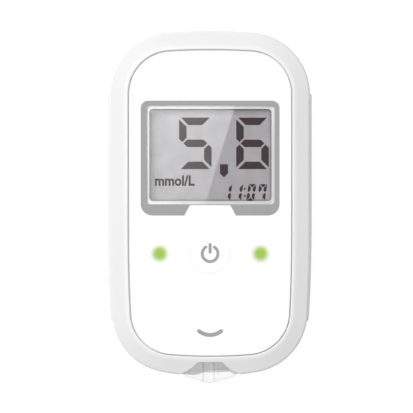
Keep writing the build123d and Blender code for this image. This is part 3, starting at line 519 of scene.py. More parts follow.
@dataclass(frozen=True)
class ClearSheet(Finish):
    """Thin polished acrylic or glass: clear straight through, mirrored on its outer face only."""

    name: str
    tint: str
    tint_far: str = "#FFFFFF"
    patch_mm: float = 4.0
    ior: float = 1.49
    polish_mm: float = 0.8
    roughest: float = 0.02
    mirrored: bool = True

    def surface(self, tree: Tree) -> Socket:
        """Build the finish's nodes in tree and return the shader."""
        haze = blend_colours(tree, patches(tree, self.patch_mm), self.tint, self.tint_far)
        clear = add_node(tree, "ShaderNodeBsdfTransparent", {"Color": haze}).outputs[0]
        if not self.mirrored:
            return clear
        polish = patches(tree, self.polish_mm, 0.0, self.roughest)
        gloss = add_node(tree, "ShaderNodeBsdfAnisotropic", {"Roughness": polish}).outputs[0]
        fresnel = add_node(tree, "ShaderNodeFresnel", {"IOR": self.ior}).outputs[0]
        sides = {0: 1.0, 1: add_node(tree, "ShaderNodeNewGeometry").outputs["Backfacing"]}
        outside = add_node(tree, "ShaderNodeMath", sides, operation="SUBTRACT").outputs[0]
        both = {0: fresnel, 1: outside}
        share = add_node(tree, "ShaderNodeMath", both, operation="MULTIPLY").outputs[0]
        return add_node(tree, "ShaderNodeMixShader", {0: share, 1: clear, 2: gloss}).outputs[0]


@dataclass(frozen=True)
class ClearMoulding(Finish):
    """Clear polycarbonate from a polished mould, darker where it is seen edge on.

    A slight painted glow, strongest where it is seen face on, stands in for the light that such a moulding
    carries into its own shade.
    """

    name: str
    tint: str
    edge: str
    edge_weight: float = 0.6
    glow: float = 0.215
    flow_mm: float = 1.5
    roughness: float = 0.08
    roughness_swing: float = 0.03
    ior: float = 1.58

    def surface(self, tree: Tree) -> Socket:
        """Build the finish's nodes in tree and return the shader."""
        turn = add_node(tree, "ShaderNodeLayerWeight", {"Blend": self.edge_weight}).outputs["Facing"]
        colour = blend_colours(tree, turn, self.tint, self.edge)
        clear = add_node(tree, "ShaderNodeBsdfTransparent", {"Color": colour}).outputs[0]
        smoothest, roughest = self.roughness - self.roughness_swing, self.roughness + self.roughness_swing
        flow = patches(tree, self.flow_mm, smoothest, roughest)
        gloss = add_node(tree, "ShaderNodeBsdfAnisotropic", {"Roughness": flow}).outputs[0]
        fresnel = add_node(tree, "ShaderNodeFresnel", {"IOR": self.ior}).outputs[0]
        surface = add_node(tree, "ShaderNodeMixShader", {0: fresnel, 1: clear, 2: gloss}).outputs[0]
        # painted light: the glow brightens the guide where it lies in shade
        strength = spread(tree, turn, self.glow, 0.0, 0.0, 1.0)
        glow = add_node(tree, "ShaderNodeEmission", {"Strength": strength}).outputs[0]
        return add_node(tree, "ShaderNodeAddShader", {0: surface, 1: glow}).outputs[0]


@dataclass(frozen=True)
class LitLens(Pigmented):
    """Milky acrylic over a lamp: the lamp's green, the far colour, fades to the panel's white."""

    middle_x_mm: float
    pitch_mm: float
    middle_y_mm: float
    heart_mm: float = 0.9
    fade_mm: float = 3.1
    glow: float = 0.1
    grain_mm: float = 0.5
    smoothest: float = 0.42
    roughest: float = 0.5
    ior: float = 1.45
    coat_roughness: float = 0.04

    def inputs(self, tree: Tree) -> dict[str, Any]:
        """Build what the shader's inputs get and return it by their names."""
        fade = self.fade(tree)
        return {
            "Base Color": self.tint(tree, fade),
            "Roughness": patches(tree, self.grain_mm, self.smoothest, self.roughest),
            "IOR": self.ior,
            "Coat Weight": 1.0,
            "Coat Roughness": self.coat_roughness,
            "Emission Color": linear(self.colour_far),
            "Emission Strength": spread(tree, fade, 0.0, self.glow, 0.0, 1.0),
        }

    def fade(self, tree: Tree) -> Socket:
        """One over the middle of either lamp, and nought out at the lens's edge."""
        middle = (-self.middle_x_mm * MM, -self.middle_y_mm * MM, 0.0)
        flat = {0: object_point(tree), 1: (1.0, 1.0, 0.0), 2: middle}
        place = add_node(tree, "ShaderNodeVectorMath", flat, operation="MULTIPLY_ADD").outputs[0]
        folded = add_node(tree, "ShaderNodeVectorMath", {0: place}, operation="ABSOLUTE").outputs[0]
        lamp = {0: folded, 1: (self.pitch_mm / 2 * MM, 0.0, 0.0)}
        radius = add_node(tree, "ShaderNodeVectorMath", lamp, operation="DISTANCE").outputs["Value"]
        span = {
            "Value": radius,
            "From Min": self.heart_mm * MM,
            "From Max": self.fade_mm * MM,
            "To Min": 1.0,
            "To Max": 0.0,
        }
        return add_node(tree, "ShaderNodeMapRange", span, interpolation_type="SMOOTHSTEP").outputs[0]


@dataclass(frozen=True)
class DisplayBack(Pigmented):
    """Silver-grey rear of a liquid crystal cell under glass: matt grain, darker in a band along the view's
    edge, with painted light along its top and left.
    """

    seal: str
    middle_x_mm: float
    middle_y_mm: float
    view_width_mm: float
    view_height_mm: float
    seal_mm: float = 0.75
    grain_mm: float = 0.25
    roughness: float = 0.6
    ior: float = 1.5
    glass_ior: float = 1.52
    top_glow: float = 0.21
    left_glow: float = 0.19
    glow_reach_mm: float = 3.5

    def inputs(self, tree: Tree) -> dict[str, Any]:
        """Build what the shader's inputs get and return it by their names."""
        middle = {0: object_point(tree), 1: (self.middle_x_mm * MM, self.middle_y_mm * MM, 0.0)}
        place = add_node(tree, "ShaderNodeVectorMath", middle, operation="SUBTRACT").outputs[0]
        grain = self.tint(tree, patches(tree, self.grain_mm))
        # darker in a band along the view's edge
        silver = blend_colours(tree, self.sealed(tree, place), grain, self.seal)
        return {
            "Base Color": silver,
            "Roughness": self.roughness,
            "IOR": self.ior,
            "Coat Weight": 1.0,
            "Coat Roughness": 0.0,
            "Coat IOR": self.glass_ior,
            # the emission is painted light along the view's top and left, in the back's own colour
            "Emission Color": silver,
            "Emission Strength": self.shade_relief(tree, place),
        }

    def sealed(self, tree: Tree, place: Socket) -> Socket:
        """One at the view's edge, and nought from that band's width inside it, for a place from the view's
        middle.
        """
        half_view = (self.view_width_mm / 2 * MM, self.view_height_mm / 2 * MM, 0.0)
        folded = add_node(tree, "ShaderNodeVectorMath", {0: place}, operation="ABSOLUTE").outputs[0]
        inset = {0: half_view, 1: folded}
        inside = add_node(tree, "ShaderNodeVectorMath", inset, operation="SUBTRACT").outputs[0]
        across, along, _ = add_node(tree, "ShaderNodeSeparateXYZ", {0: inside}).outputs
        nearest = add_node(tree, "ShaderNodeMath", {0: across, 1: along}, operation="MINIMUM").outputs[0]
        return spread(tree, nearest, 1.0, 0.0, 0.0, self.seal_mm * MM)

    def shade_relief(self, tree: Tree, place: Socket) -> Socket:
        """Painted light: a glow along the view's top and left, where the studio leaves too deep a shade."""
        across, along, _ = add_node(tree, "ShaderNodeSeparateXYZ", {0: place}).outputs
        left, top = -self.view_width_mm / 2 * MM, self.view_height_mm / 2 * MM
        reach = self.glow_reach_mm * MM
        painted_lights = {
            0: spread(tree, along, 0.0, self.top_glow, top - reach, top),
            1: spread(tree, across, self.left_glow, 0.0, left, left + reach),
        }
        return add_node(tree, "ShaderNodeMath", painted_lights, operation="MAXIMUM").outputs[0]


@dataclass(frozen=True)
class DrivenCrystal(Pigmented):
    """Switched liquid crystal: near black with a warm violet cast, a little uneven."""

    patch_mm: float = 1.8
    grain_mm: float = 0.3
    smoothest: float = 0.55
    roughest: float = 0.65
    ior: float = 1.1  # low, because glass and not air lies over the crystal

    def inputs(self, tree: Tree) -> dict[str, Any]:
        """Build what the shader's inputs get and return it by their names."""
        return {
            "Base Color": self.tint(tree, patches(tree, self.patch_mm)),
            "Roughness": patches(tree, self.grain_mm, self.smoothest, self.roughest),
            "IOR": self.ior,
        }


@dataclass(frozen=True)
class PlatedMetal(Pigmented):
    """Nickel, tin or gold plate on rolled sheet: fine streaks along the rolling direction."""

    roughness: float = 0.28
    smoother: float = 0.06
    rougher: float = 0.08
    streak_mm: float = 0.08
    streak_detail: float = 3.0
    streak_squeeze: float = 0.06
    streak_depth_mm: float = 0.001

    def inputs(self, tree: Tree) -> dict[str, Any]:
        """Build what the shader's inputs get and return it by their names."""
        streaks = speckle(tree, self.streak_mm, self.streak_detail, self.streak_squeeze)
        smoothest, roughest = self.roughness - self.smoother, self.roughness + self.rougher
        return {
            "Base Color": self.tint(tree, spread(tree, streaks)),
            "Metallic": 1.0,
            "Roughness": spread(tree, streaks, smoothest, roughest),
            "Normal": relief(tree, streaks, self.streak_depth_mm),
        }


@dataclass(frozen=True)
class SolderMask(Pigmented):
    """Green solder mask over etched copper: paler tracks, the far colour, show through the lacquer."""

    track_length_mm: float = 4.3
    track_pitch_mm: float = 1.6
    track_width_mm: float = 0.12
    track_softness: float = 0.3
    track_depth_mm: float = 0.03
    grain_mm: float = 0.6
    smoothest: float = 0.3
    roughest: float = 0.4
    ior: float = 1.5

    def inputs(self, tree: Tree) -> dict[str, Any]:
        """Build what the shader's inputs get and return it by their names."""
        courses = {
            "Vector": object_point(tree),
            "Scale": 1 / MM,
            "Mortar Size": self.track_width_mm,
            "Mortar Smooth": self.track_softness,
            "Brick Width": self.track_length_mm,
            "Row Height": self.track_pitch_mm,
        }
        tracks = add_node(tree, "ShaderNodeTexBrick", courses).outputs["Fac"]
        return {
            "Base Color": self.tint(tree, tracks),
            "Roughness": patches(tree, self.grain_mm, self.smoothest, self.roughest),
            "IOR": self.ior,
            "Normal": relief(tree, tracks, self.track_depth_mm),
        }


@dataclass(frozen=True)
class FoamRubber(Pigmented):
    """Silicone rubber or closed-cell foam: dull, with small cells in its cut face."""

    cell_mm: float = 0.4
    cell_depth_mm: float = 0.05
    cell_reach: float = 0.7
    roughness: float = 0.85
    ior: float = 1.41

    def inputs(self, tree: Tree) -> dict[str, Any]:
        """Build what the shader's inputs get and return it by their names."""
        packed = {"Vector": object_point(tree), "Scale": 1 / (self.cell_mm * MM)}
        cells = add_node(tree, "ShaderNodeTexVoronoi", packed).outputs["Distance"]
        return {
            "Base Color": self.tint(tree, spread(tree, cells, start=0.0, end=self.cell_reach)),
            "Roughness": self.roughness,
            "IOR": self.ior,
            "Normal": relief(tree, cells, self.cell_depth_mm),
        }


@dataclass(frozen=True)
class FibreSheet(Pigmented):
    """Matt label stock, tissue tape or diffusing film: short fibres that catch the light unevenly."""

    fibre_mm: float = 0.2
    fibre_detail: float = 4.0
    fibre_squeeze: float = 0.25
    fibre_depth_mm: float = 0.006
    smoothest: float = 0.55
    roughest: float = 0.7
    ior: float = 1.47

    def inputs(self, tree: Tree) -> dict[str, Any]:
        """Build what the shader's inputs get and return it by their names."""
        fibres = speckle(tree, self.fibre_mm, self.fibre_detail, self.fibre_squeeze)
        return {
            "Base Color": self.tint(tree, spread(tree, fibres)),
            "Roughness": spread(tree, fibres, self.smoothest, self.roughest),
            "IOR": self.ior,
            "Normal": relief(tree, fibres, self.fibre_depth_mm),
        }


@dataclass(frozen=True)
class StudioFloor(Finish):
    """Pale sheet under the object: white where nothing shades it, and clear to a look from below."""

    name: str
    colour: str
    lift: float

    def surface(self, tree: Tree) -> Socket:
        """Build the finish's nodes in tree and return the shader."""
        sheet = add_node(tree, "ShaderNodeBsdfDiffuse", {"Color": linear(self.colour)}).outputs[0]
        strength = spread(tree, seen_directly(tree), 0.0, self.lift, 0.0, 1.0)
        glow = add_node(tree, "ShaderNodeEmission", {"Strength": strength}).outputs[0]
        solid = add_node(tree, "ShaderNodeAddShader", {0: sheet, 1: glow}).outputs[0]
        clear = add_node(tree, "ShaderNodeBsdfTransparent").outputs[0]
        share = {0: self.looked_through(tree), 1: solid, 2: clear}
        return add_node(tree, "ShaderNodeMixShader", share).outputs[0]

    @staticmethod
    def looked_through(tree: Tree) -> Socket:
        """One where a look from below goes on to the meter's back, and where light follows it."""
        path = add_node(tree, "ShaderNodeLightPath").outputs
        beneath = add_node(tree, "ShaderNodeNewGeometry").outputs["Backfacing"]
        looks = {0: 1.0, 1: path[Ray.CAMERA.value]}
        light = add_node(tree, "ShaderNodeMath", looks, operation="SUBTRACT").outputs[0]
        passed = {0: light, 1: path[Ray.SHEETS_PASSED.value]}
        follows = add_node(tree, "ShaderNodeMath", passed, operation="MULTIPLY").outputs[0]
        either = {0: beneath, 1: follows}
        return add_node(tree, "ShaderNodeMath", either, operation="MAXIMUM", use_clamp=True).outputs[0]


@dataclass(frozen=True)
class SoftCard(Finish):
    """A lit card, brighter the further its points lie along a direction."""

    name: str
    direction: tuple[float, float, float]
    near: float
    far: float
    near_level: float
    far_level: float

    def surface(self, tree: Tree) -> Socket:
        """Build the finish's nodes in tree and return the shader."""
        reach = reach_along(tree, self.direction)
        level = spread(tree, reach, self.near_level, self.far_level, self.near, self.far)
        return add_node(tree, "ShaderNodeEmission", {"Strength": level}).outputs[0]


SHELL_WHITE = MouldedPlastic("moulded_abs_white", "#E4E4E4", "#E2E2E1", roughness=0.44)
DOOR_WHITE = MouldedPlastic("moulded_abs_white_door", "#E3E3E3", "#E1E1E0", roughness=0.38)
SOCKET_IVORY = MouldedPlastic("moulded_pbt_ivory", "#E6DEC8", "#DDD3BA", roughness=0.5)
SWITCH_BLACK = MouldedPlastic("moulded_nylon_black", "#2A2A2C", "#232325", roughness=0.5)
PLUNGER_GREY = MouldedPlastic("moulded_acetal_grey", "#6E6E70", "#666668", roughness=0.4)
CHIP_EPOXY = MouldedPlastic("moulded_epoxy_black", "#1E1E20", "#27272A", roughness=0.55, texture_mm=0.15)
CAPACITOR_CERAMIC = MouldedPlastic("fired_ceramic_tan", "#A98A64", "#B7966D", roughness=0.5, texture_mm=0.1)
LAMP_BODY = MouldedPlastic("moulded_lamp_body", "#E9EBD8", "#DDE0C8", roughness=0.3)
PANEL_WHITE = GlossyFilm("printed_film_white", "#FBFBFB", "#FAFAFA")
INK_GREY = ScreenInk("screen_ink_grey", "#A0A0A0", "#9D9D9D")
WINDOW_CLEAR = ClearSheet("polished_acrylic_clear", "#FDFDFD")
CELL_GLASS = ClearSheet("float_glass_clear", "#FDFEFD", ior=1.52, mirrored=False)
POLARISER = ClearSheet("polarising_film", "#FBFBFC", ior=1.5, mirrored=False)
# clear guide with a painted glow that lightens it in the notch's shade
GUIDE_CLEAR = ClearMoulding("moulded_polycarbonate_clear", "#DFDFDF", "#888888")
CRYSTAL_DARK = DrivenCrystal("driven_liquid_crystal", "#493437", "#4C383B")
REFLECTOR_FILM = FibreSheet("diffusing_film_silver", "#B4B3B5", "#ACABAD", fibre_mm=0.12)
NICKEL = PlatedMetal("nickel_plate", "#C9C5BC", "#BDB9B0")
TIN = PlatedMetal("tin_plate", "#D2D2D0", "#C4C4C2", roughness=0.36)
GOLD = PlatedMetal("gold_plate", "#E3BC5E", "#D8AE50", roughness=0.22)
BOARD_GREEN = SolderMask("solder_mask_green", "#12482B", "#2F7A4C")
RUBBER_GREY = FoamRubber("silicone_rubber_grey", "#5B5C60", "#6C6D71")
TAPE_WHITE = FibreSheet("tissue_tape_white", "#D9D9D4", "#CFCFCA")
LABEL_WHITE = FibreSheet("label_stock_white", "#EDEDEB", "#E8E8E6")


def dress(frame: Frame, finish: Finish, *nodes: str) -> None:
    """Give CAD nodes a finish.

    Args:
        frame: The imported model.
        finish: The finish they get.
        *nodes: Names of the nodes.
    """
    for node in nodes:
        for slot in frame["nodes"][node].material_slots:
            slot.material = finish.material()
        logger.info("%s: %s", node, finish.name)


def clear_the_way(*pieces: bpy.types.Object) -> None:
    """Keep clear pieces out of shadows and mirror images, so that they don't darken what lies below them."""
    for piece in pieces:
        piece.visible_shadow = False
        piece.visible_glossy = False


def add_piece(piece: bpy.types.Object, body: str, slot: str, finish: Finish, *replaced: str) -> None:
    """Finish a new piece and join it to its CAD body.

    Args:
        piece: The new piece, in place.
        body: The CAD body that it rides on.
        slot: The record's material slot; not used.
        finish: The finish it gets.
        *replaced: CAD nodes that it stands for.
    """
    piece.data.materials.clear()
    piece.data.materials.append(finish.material())
    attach(piece, body)
    if replaced:
        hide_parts(*replaced)
    logger.info("%s: %d faces, %s", piece.name, len(piece.data.polygons), finish.name)


# ------------------------------------------------------------------- repeated pieces


@dataclass(frozen=True)
class Pattern(ABC):
    """A piece that Geometry Nodes grow; each field that ends in _mm is a named input of the tree."""

    name: str
    finish: Finish

    def sizes(self) -> dict[str, float]:
        """The tree's sizes in millimetres, by the name of their input."""
        return {each.name: getattr(self, each.name) for each in fields(self) if each.name.endswith("_mm")}

    @abstractmethod
    def shape(self, tree: Tree, size: dict[str, Socket]) -> Socket:
        """Build one shape at the origin and return its geometry."""

    def grow(self, tree: Tree, seed: Socket, size: dict[str, Socket]) -> Socket:
        """Repeat the shape at every point of the seed and return the instances."""
        inputs = {"Points": seed, "Instance": self.shape(tree, size)}
        return add_node(tree, "GeometryNodeInstanceOnPoints", inputs).outputs[0]

    def piece(self, corners: list[Vector], edges: list[tuple[int, int]] | None = None) -> bpy.types.Object:
        """Grow the piece from points or from a line.

        Args:
            corners: Points of the seed in metres.
            edges: Pairs of points that the seed joins.

        Returns:
            The plain mesh piece, at the origin.
        """
        tree = bpy.data.node_groups.new(self.name, "GeometryNodeTree")
        tree.interface.new_socket("seed", in_out="INPUT", socket_type="NodeSocketGeometry")
        for name in self.sizes():
            tree.interface.new_socket(name, in_out="INPUT", socket_type="NodeSocketFloat")
        tree.interface.new_socket("shapes", in_out="OUTPUT", socket_type="NodeSocketGeometry")
        entry = add_node(tree, "NodeGroupInput").outputs
        grown = self.grow(tree, entry["seed"], {name: entry[name] for name in self.sizes()})
        real = add_node(tree, "GeometryNodeRealizeInstances", {0: grown}).outputs[0]
        painted = {"Geometry": real, "Material": self.finish.material()}
        dressed = add_node(tree, "GeometryNodeSetMaterial", painted).outputs[0]
        add_node(tree, "NodeGroupOutput", {0: dressed})
        seed = mesh_piece(f"{self.name}_seed", corners, [], edges)
        growth = seed.modifiers.new(self.name, "NODES")
        growth.node_group = tree
        for socket in tree.interface.items_tree:
            if socket.name in self.sizes():
                growth[socket.identifier] = self.sizes()[socket.name] * MM
        return frozen(seed, self.name)


@dataclass(frozen=True)
class TappingScrew(Pattern):
    """Pan-head screw with a cross recess, a pointed tip and a rolled thread, head at the origin."""

    head_radius_mm: float = 1.9
    head_height_mm: float = 1.4
    head_edge_mm: float = 0.35
    recess_length_mm: float = 2.2
    recess_width_mm: float = 0.5
    recess_depth_mm: float = 0.8
    core_radius_mm: float = 0.78
    point_radius_mm: float = 0.1
    thread_depth_mm: float = 0.22
    thread_pitch_mm: float = 0.8
    shank_length_mm: float = 10.7
    tip_length_mm: float = 1.2
    sides: int = 40
    thread_steps: int = 24
    thread_sides: int = 3

    def shape(self, tree: Tree, size: dict[str, Socket]) -> Socket:
        """Build one screw at the origin and return its geometry."""
        radius, top, edge = size["head_radius_mm"], size["head_height_mm"], size["head_edge_mm"]
        core, tip_length = size["core_radius_mm"], size["tip_length_mm"]
        crown_radius, rim_height, straight = (
            add_node(tree, "ShaderNodeMath", {0: whole, 1: part}, operation="SUBTRACT").outputs[0]
            for whole, part in ((radius, edge), (top, edge), (size["shank_length_mm"], tip_length))
        )
        tip_base = add_node(tree, "ShaderNodeMath", {0: top, 1: straight}, operation="ADD").outputs[0]
        crown = self.barrel(tree, crown_radius, radius, edge, 0.0)
        arms = [self.arm(tree, size, across) for across in (True, False)]
        recess = add_node(tree, "GeometryNodeJoinGeometry", {0: arms}).outputs[0]
        cut = {"Mesh 1": crown, "Mesh 2": recess}
        parts = [
            add_node(tree, "GeometryNodeMeshBoolean", cut, operation="DIFFERENCE").outputs[0],
            self.barrel(tree, radius, radius, rim_height, edge),
            self.barrel(tree, core, core, straight, top),
            self.barrel(tree, core, size["point_radius_mm"], tip_length, tip_base),
            self.thread(tree, size, straight),
        ]
        return add_node(tree, "GeometryNodeJoinGeometry", {0: parts}).outputs[0]

    def barrel(self, tree: Tree, low: Socket, high: Socket, height: Socket, base: Socket | float) -> Socket:
        """A round bar or cone, of radius low to high, that stands on a height."""
        inputs = {"Vertices": self.sides, "Radius Bottom": low, "Radius Top": high, "Depth": height}
        bar = add_node(tree, "GeometryNodeMeshCone", inputs).outputs[0]
        place = add_node(tree, "ShaderNodeCombineXYZ", {2: base}).outputs[0]
        return add_node(tree, "GeometryNodeTransform", {"Geometry": bar, "Translation": place}).outputs[0]

    @staticmethod
    def arm(tree: Tree, size: dict[str, Socket], across: bool) -> Socket:
        """One arm of the cross recess, as the box that it cuts."""
        length, width = size["recess_length_mm"], size["recess_width_mm"]
        twice = {0: size["recess_depth_mm"], 1: 2.0}
        depth = add_node(tree, "ShaderNodeMath", twice, operation="MULTIPLY").outputs[0]
        sides = {0: length, 1: width, 2: depth} if across else {0: width, 1: length, 2: depth}
        extent = add_node(tree, "ShaderNodeCombineXYZ", sides).outputs[0]
        return add_node(tree, "GeometryNodeMeshCube", {"Size": extent}).outputs[0]

    def thread(self, tree: Tree, size: dict[str, Socket], height: Socket) -> Socket:
        """The helical ridge round the core."""
        turns = {0: height, 1: size["thread_pitch_mm"]}
        winding = {
            "Resolution": self.thread_steps,
            "Rotations": add_node(tree, "ShaderNodeMath", turns, operation="DIVIDE").outputs[0],
            "Start Radius": size["core_radius_mm"],
            "End Radius": size["core_radius_mm"],
            "Height": height,
        }
        helix = add_node(tree, "GeometryNodeCurveSpiral", winding).outputs[0]
        section = {"Resolution": self.thread_sides, "Radius": size["thread_depth_mm"]}
        ridge = add_node(tree, "GeometryNodeCurvePrimitiveCircle", section).outputs[0]
        swept = {"Curve": helix, "Profile Curve": ridge, "Fill Caps": True}
        thread = add_node(tree, "GeometryNodeCurveToMesh", swept).outputs[0]
        place = add_node(tree, "ShaderNodeCombineXYZ", {2: size["head_height_mm"]}).outputs[0]
        return add_node(tree, "GeometryNodeTransform", {"Geometry": thread, "Translation": place}).outputs[0]


@dataclass(frozen=True)
class Chip(Pattern):
    """A share of a surface-mount capacitor; its two end caps take cap_mm each of its length."""

    length_mm: float = 1.6
    cap_mm: float = 0.32


@dataclass(frozen=True)
class ChipBody(Chip):
    """Middle of a surface-mount capacitor, between its end caps."""

    width_mm: float = 0.76
    height_mm: float = 0.56

    def shape(self, tree: Tree, size: dict[str, Socket]) -> Socket:
        """Build one body at the origin and return its geometry."""
        twice = {0: size["cap_mm"], 1: 2.0}
        caps = add_node(tree, "ShaderNodeMath", twice, operation="MULTIPLY").outputs[0]
        rest = {0: size["length_mm"], 1: caps}
        middle = add_node(tree, "ShaderNodeMath", rest, operation="SUBTRACT").outputs[0]
        sides = {0: middle, 1: size["width_mm"], 2: size["height_mm"]}
        extent = add_node(tree, "ShaderNodeCombineXYZ", sides).outputs[0]
        return add_node(tree, "GeometryNodeMeshCube", {"Size": extent}).outputs[0]


@dataclass(frozen=True)
class ChipCaps(Chip):
    """The two tinned end caps of a surface-mount capacitor."""

    width_mm: float = 0.8
    height_mm: float = 0.6

    def shape(self, tree: Tree, size: dict[str, Socket]) -> Socket:
        """Build one pair of caps round the origin and return its geometry."""
        sides = {0: size["cap_mm"], 1: size["width_mm"], 2: size["height_mm"]}
        extent = add_node(tree, "ShaderNodeCombineXYZ", sides).outputs[0]
        cap = add_node(tree, "GeometryNodeMeshCube", {"Size": extent}).outputs[0]
        rest = {0: size["length_mm"], 1: size["cap_mm"]}
        between = add_node(tree, "ShaderNodeMath", rest, operation="SUBTRACT").outputs[0]
        pair = []
        for share in (0.5, -0.5):
            reach = {0: between, 1: share}
            out = add_node(tree, "ShaderNodeMath", reach, operation="MULTIPLY").outputs[0]
            place = add_node(tree, "ShaderNodeCombineXYZ", {0: out}).outputs[0]
            moved = {"Geometry": cap, "Translation": place}
            pair.append(add_node(tree, "GeometryNodeTransform", moved).outputs[0])
        return add_node(tree, "GeometryNodeJoinGeometry", {0: pair}).outputs[0]


@dataclass(frozen=True)
class SpringBlades(Pattern):
    """A row of bent spring strips that follow one line, with rounded bends."""

    count: int = 6
    pitch_mm: float = 1.0
    width_mm: float = 0.5
    thickness_mm: float = 0.2
    bend_mm: float = 0.25
    bend_steps: int = 6

    def shape(self, tree: Tree, size: dict[str, Socket]) -> Socket:
        """Build the strip's flat section and return its curve."""
        section = {"Width": size["width_mm"], "Height": size["thickness_mm"]}
        return add_node(tree, "GeometryNodeCurvePrimitiveQuadrilateral", section).outputs[0]

    def grow(self, tree: Tree, seed: Socket, size: dict[str, Socket]) -> Socket:
        """Sweep the section along the seed's line and repeat it side by side."""
        line = add_node(tree, "GeometryNodeMeshToCurve", {"Mesh": seed}).outputs[0]
        bend = {"Curve": line, "Radius": size["bend_mm"], "Count": self.bend_steps, "Limit Radius": True}
        path = add_node(tree, "GeometryNodeFilletCurve", bend, mode="POLY").outputs[0]
        swept = {"Curve": path, "Profile Curve": self.shape(tree, size), "Fill Caps": True}
        blade = add_node(tree, "GeometryNodeCurveToMesh", swept).outputs[0]
        offset = add_node(tree, "ShaderNodeCombineXYZ", {0: size["pitch_mm"]}).outputs[0]
        row = add_node(tree, "GeometryNodeMeshLine", {"Count": self.count, "Offset": offset}).outputs[0]
        inputs = {"Points": row, "Instance": blade}
        return add_node(tree, "GeometryNodeInstanceOnPoints", inputs).outputs[0]


# --------------------------------------------------------------------- sub-assemblies


@dataclass
class Shells:
    """The two case halves and the battery door."""

    def build(self, frame: Frame) -> None:
        """Dress the shells."""
        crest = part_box("front_case")[1].z / MM
        gloss = SHELL_WHITE.roughness
        # the far colour is a painted highlight along the crest round the panel's groove
        front = CrestedShell("moulded_abs_white_crested", "#E3E3E3", "#EDEDED", gloss, crest_mm=crest)
        dress(frame, front, "front_case")
        dress(frame, SHELL_WHITE, "rear_case")
        dress(frame, DOOR_WHITE, "battery_door")


@dataclass
class FrontPanel:
    """The glossy front sheet with its printed marks, its tape and its window."""

    def build(self, frame: Frame) -> None:
        """Dress the panel."""
        dress(frame, PANEL_WHITE, "front_overlay")
        dress(frame, INK_GREY, "display_frame", "smile_mark")
        dress(frame, WINDOW_CLEAR, "display_window")
        clear_the_way(frame["nodes"]["display_window"])
        dress(frame, TAPE_WHITE, "overlay_adhesive")


@dataclass
class PowerKey:
    """The key in the panel, its printed symbol and the switch below."""

    def build(self, frame: Frame) -> None:
        """Dress the key and its switch."""
        dress(frame, PANEL_WHITE, "power_button")
        dress(frame, INK_GREY, "power_symbol")
        dress(frame, SWITCH_BLACK, "tact_switch")
        dress(frame, PLUNGER_GREY, "switch_plunger")


@dataclass
class IndicatorLights:
    """The two green lights beside the power key."""

    lamp_green: str = "#93BB33"

    def build(self, frame: Frame) -> None:
        """Dress the light pipes and their lamps."""
        left, right = middle_mm("light_pipe_left"), middle_mm("light_pipe_right")
        lens = LitLens(
            "lit_acrylic_green",
            PANEL_WHITE.colour,
            self.lamp_green,
            middle_x_mm=(left.x + right.x) / 2,
            pitch_mm=right.x - left.x,
            middle_y_mm=left.y,
        )
        dress(frame, lens, "light_pipe_left", "light_pipe_right")
        dress(frame, LAMP_BODY, "led_left", "led_right")


@dataclass
class Display:
    """The liquid crystal cell, its bezel and the unit lettering."""

    view_width_mm: float = 34.3
    view_height_mm: float = 25.9
    unit_words: str = "mmol/L"
    unit_left_mm: float = -15.64
    unit_right_mm: float = -4.44
    unit_baseline_mm: float = -8.5
    unit_height_mm: float = 2.85
    unit_thickness_mm: float = 0.02
    unit_bolder: float = 0.032
    letter_steps: int = 4

    def build(self, frame: Frame) -> None:
        """Dress the display and add the lettering."""
        middle = middle_mm("display_window")
        place = {"middle_x_mm": middle.x, "middle_y_mm": middle.y}
        view = {"view_width_mm": self.view_width_mm, "view_height_mm": self.view_height_mm}
        # the back is darker in a band along the view's edge, and has painted light along its top and left
        back = DisplayBack("liquid_crystal_back", "#DFDBDF", "#DCD7DC", seal="#948F94", **place, **view)
        # the rim's two colours are painted light at its upper left and painted shade at its lower right
        rim = WindowRim("moulded_abs_white_satin", "#F4F3F4", "#CECDCE", roughness=0.45, **place)
        dress(frame, rim, "display_bezel")
        frame["nodes"]["display_bezel"].visible_shadow = False  # it would shade the display too deeply
        dress(frame, POLARISER, "front_polariser")
        dress(frame, CELL_GLASS, "lcd_upper_glass")
        clear_the_way(frame["nodes"]["front_polariser"], frame["nodes"]["lcd_upper_glass"])
        dress(frame, back, "lcd_lower_glass")
        dress(frame, CRYSTAL_DARK, "lcd_segments")
        dress(frame, REFLECTOR_FILM, "rear_reflector")
        dress(frame, RUBBER_GREY, "lcd_connector", "lcd_foam_pad")
        add_piece(self.lettering(), CASE_BODY, "lcd_dark", CRYSTAL_DARK)

    def lettering(self) -> bpy.types.Object:
        """Make the unit's name as thin driven crystal.

        Returns:
            The lettering, lying on the lower glass.
        """
        curve = bpy.data.curves.new("unit_lettering", "FONT")
        curve.body = self.unit_words
        curve.offset = self.unit_bolder
        curve.resolution_u = self.letter_steps
        source = bpy.data.objects.new("unit_lettering_source", curve)
        bpy.context.scene.collection.objects.link(source)
        bpy.context.view_layer.update()
        flat = frozen(source, "unit_lettering")
        across = [vertex.co.x for vertex in flat.data.vertices]
        ascent = max(vertex.co.y for vertex in flat.data.vertices)
        scale_x = (self.unit_right_mm - self.unit_left_mm) * MM / (max(across) - min(across))
        scale_y = self.unit_height_mm * MM / ascent
        middle = middle_mm("display_window")
        corner = plan_point(middle.x + self.unit_left_mm, middle.y + self.unit_baseline_mm, 0.0)
        corner.x -= min(across) * scale_x
        corner.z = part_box("lcd_lower_glass")[1].z
        place = Matrix.Translation(corner)
        flat.data.transform(place @ Matrix.Diagonal((scale_x, scale_y, 1.0, 1.0)))
        thick = flat.modifiers.new("thickness", "SOLIDIFY")
        thick.thickness = self.unit_thickness_mm * MM
        thick.offset = 1.0
        return frozen(flat, "unit_lettering")


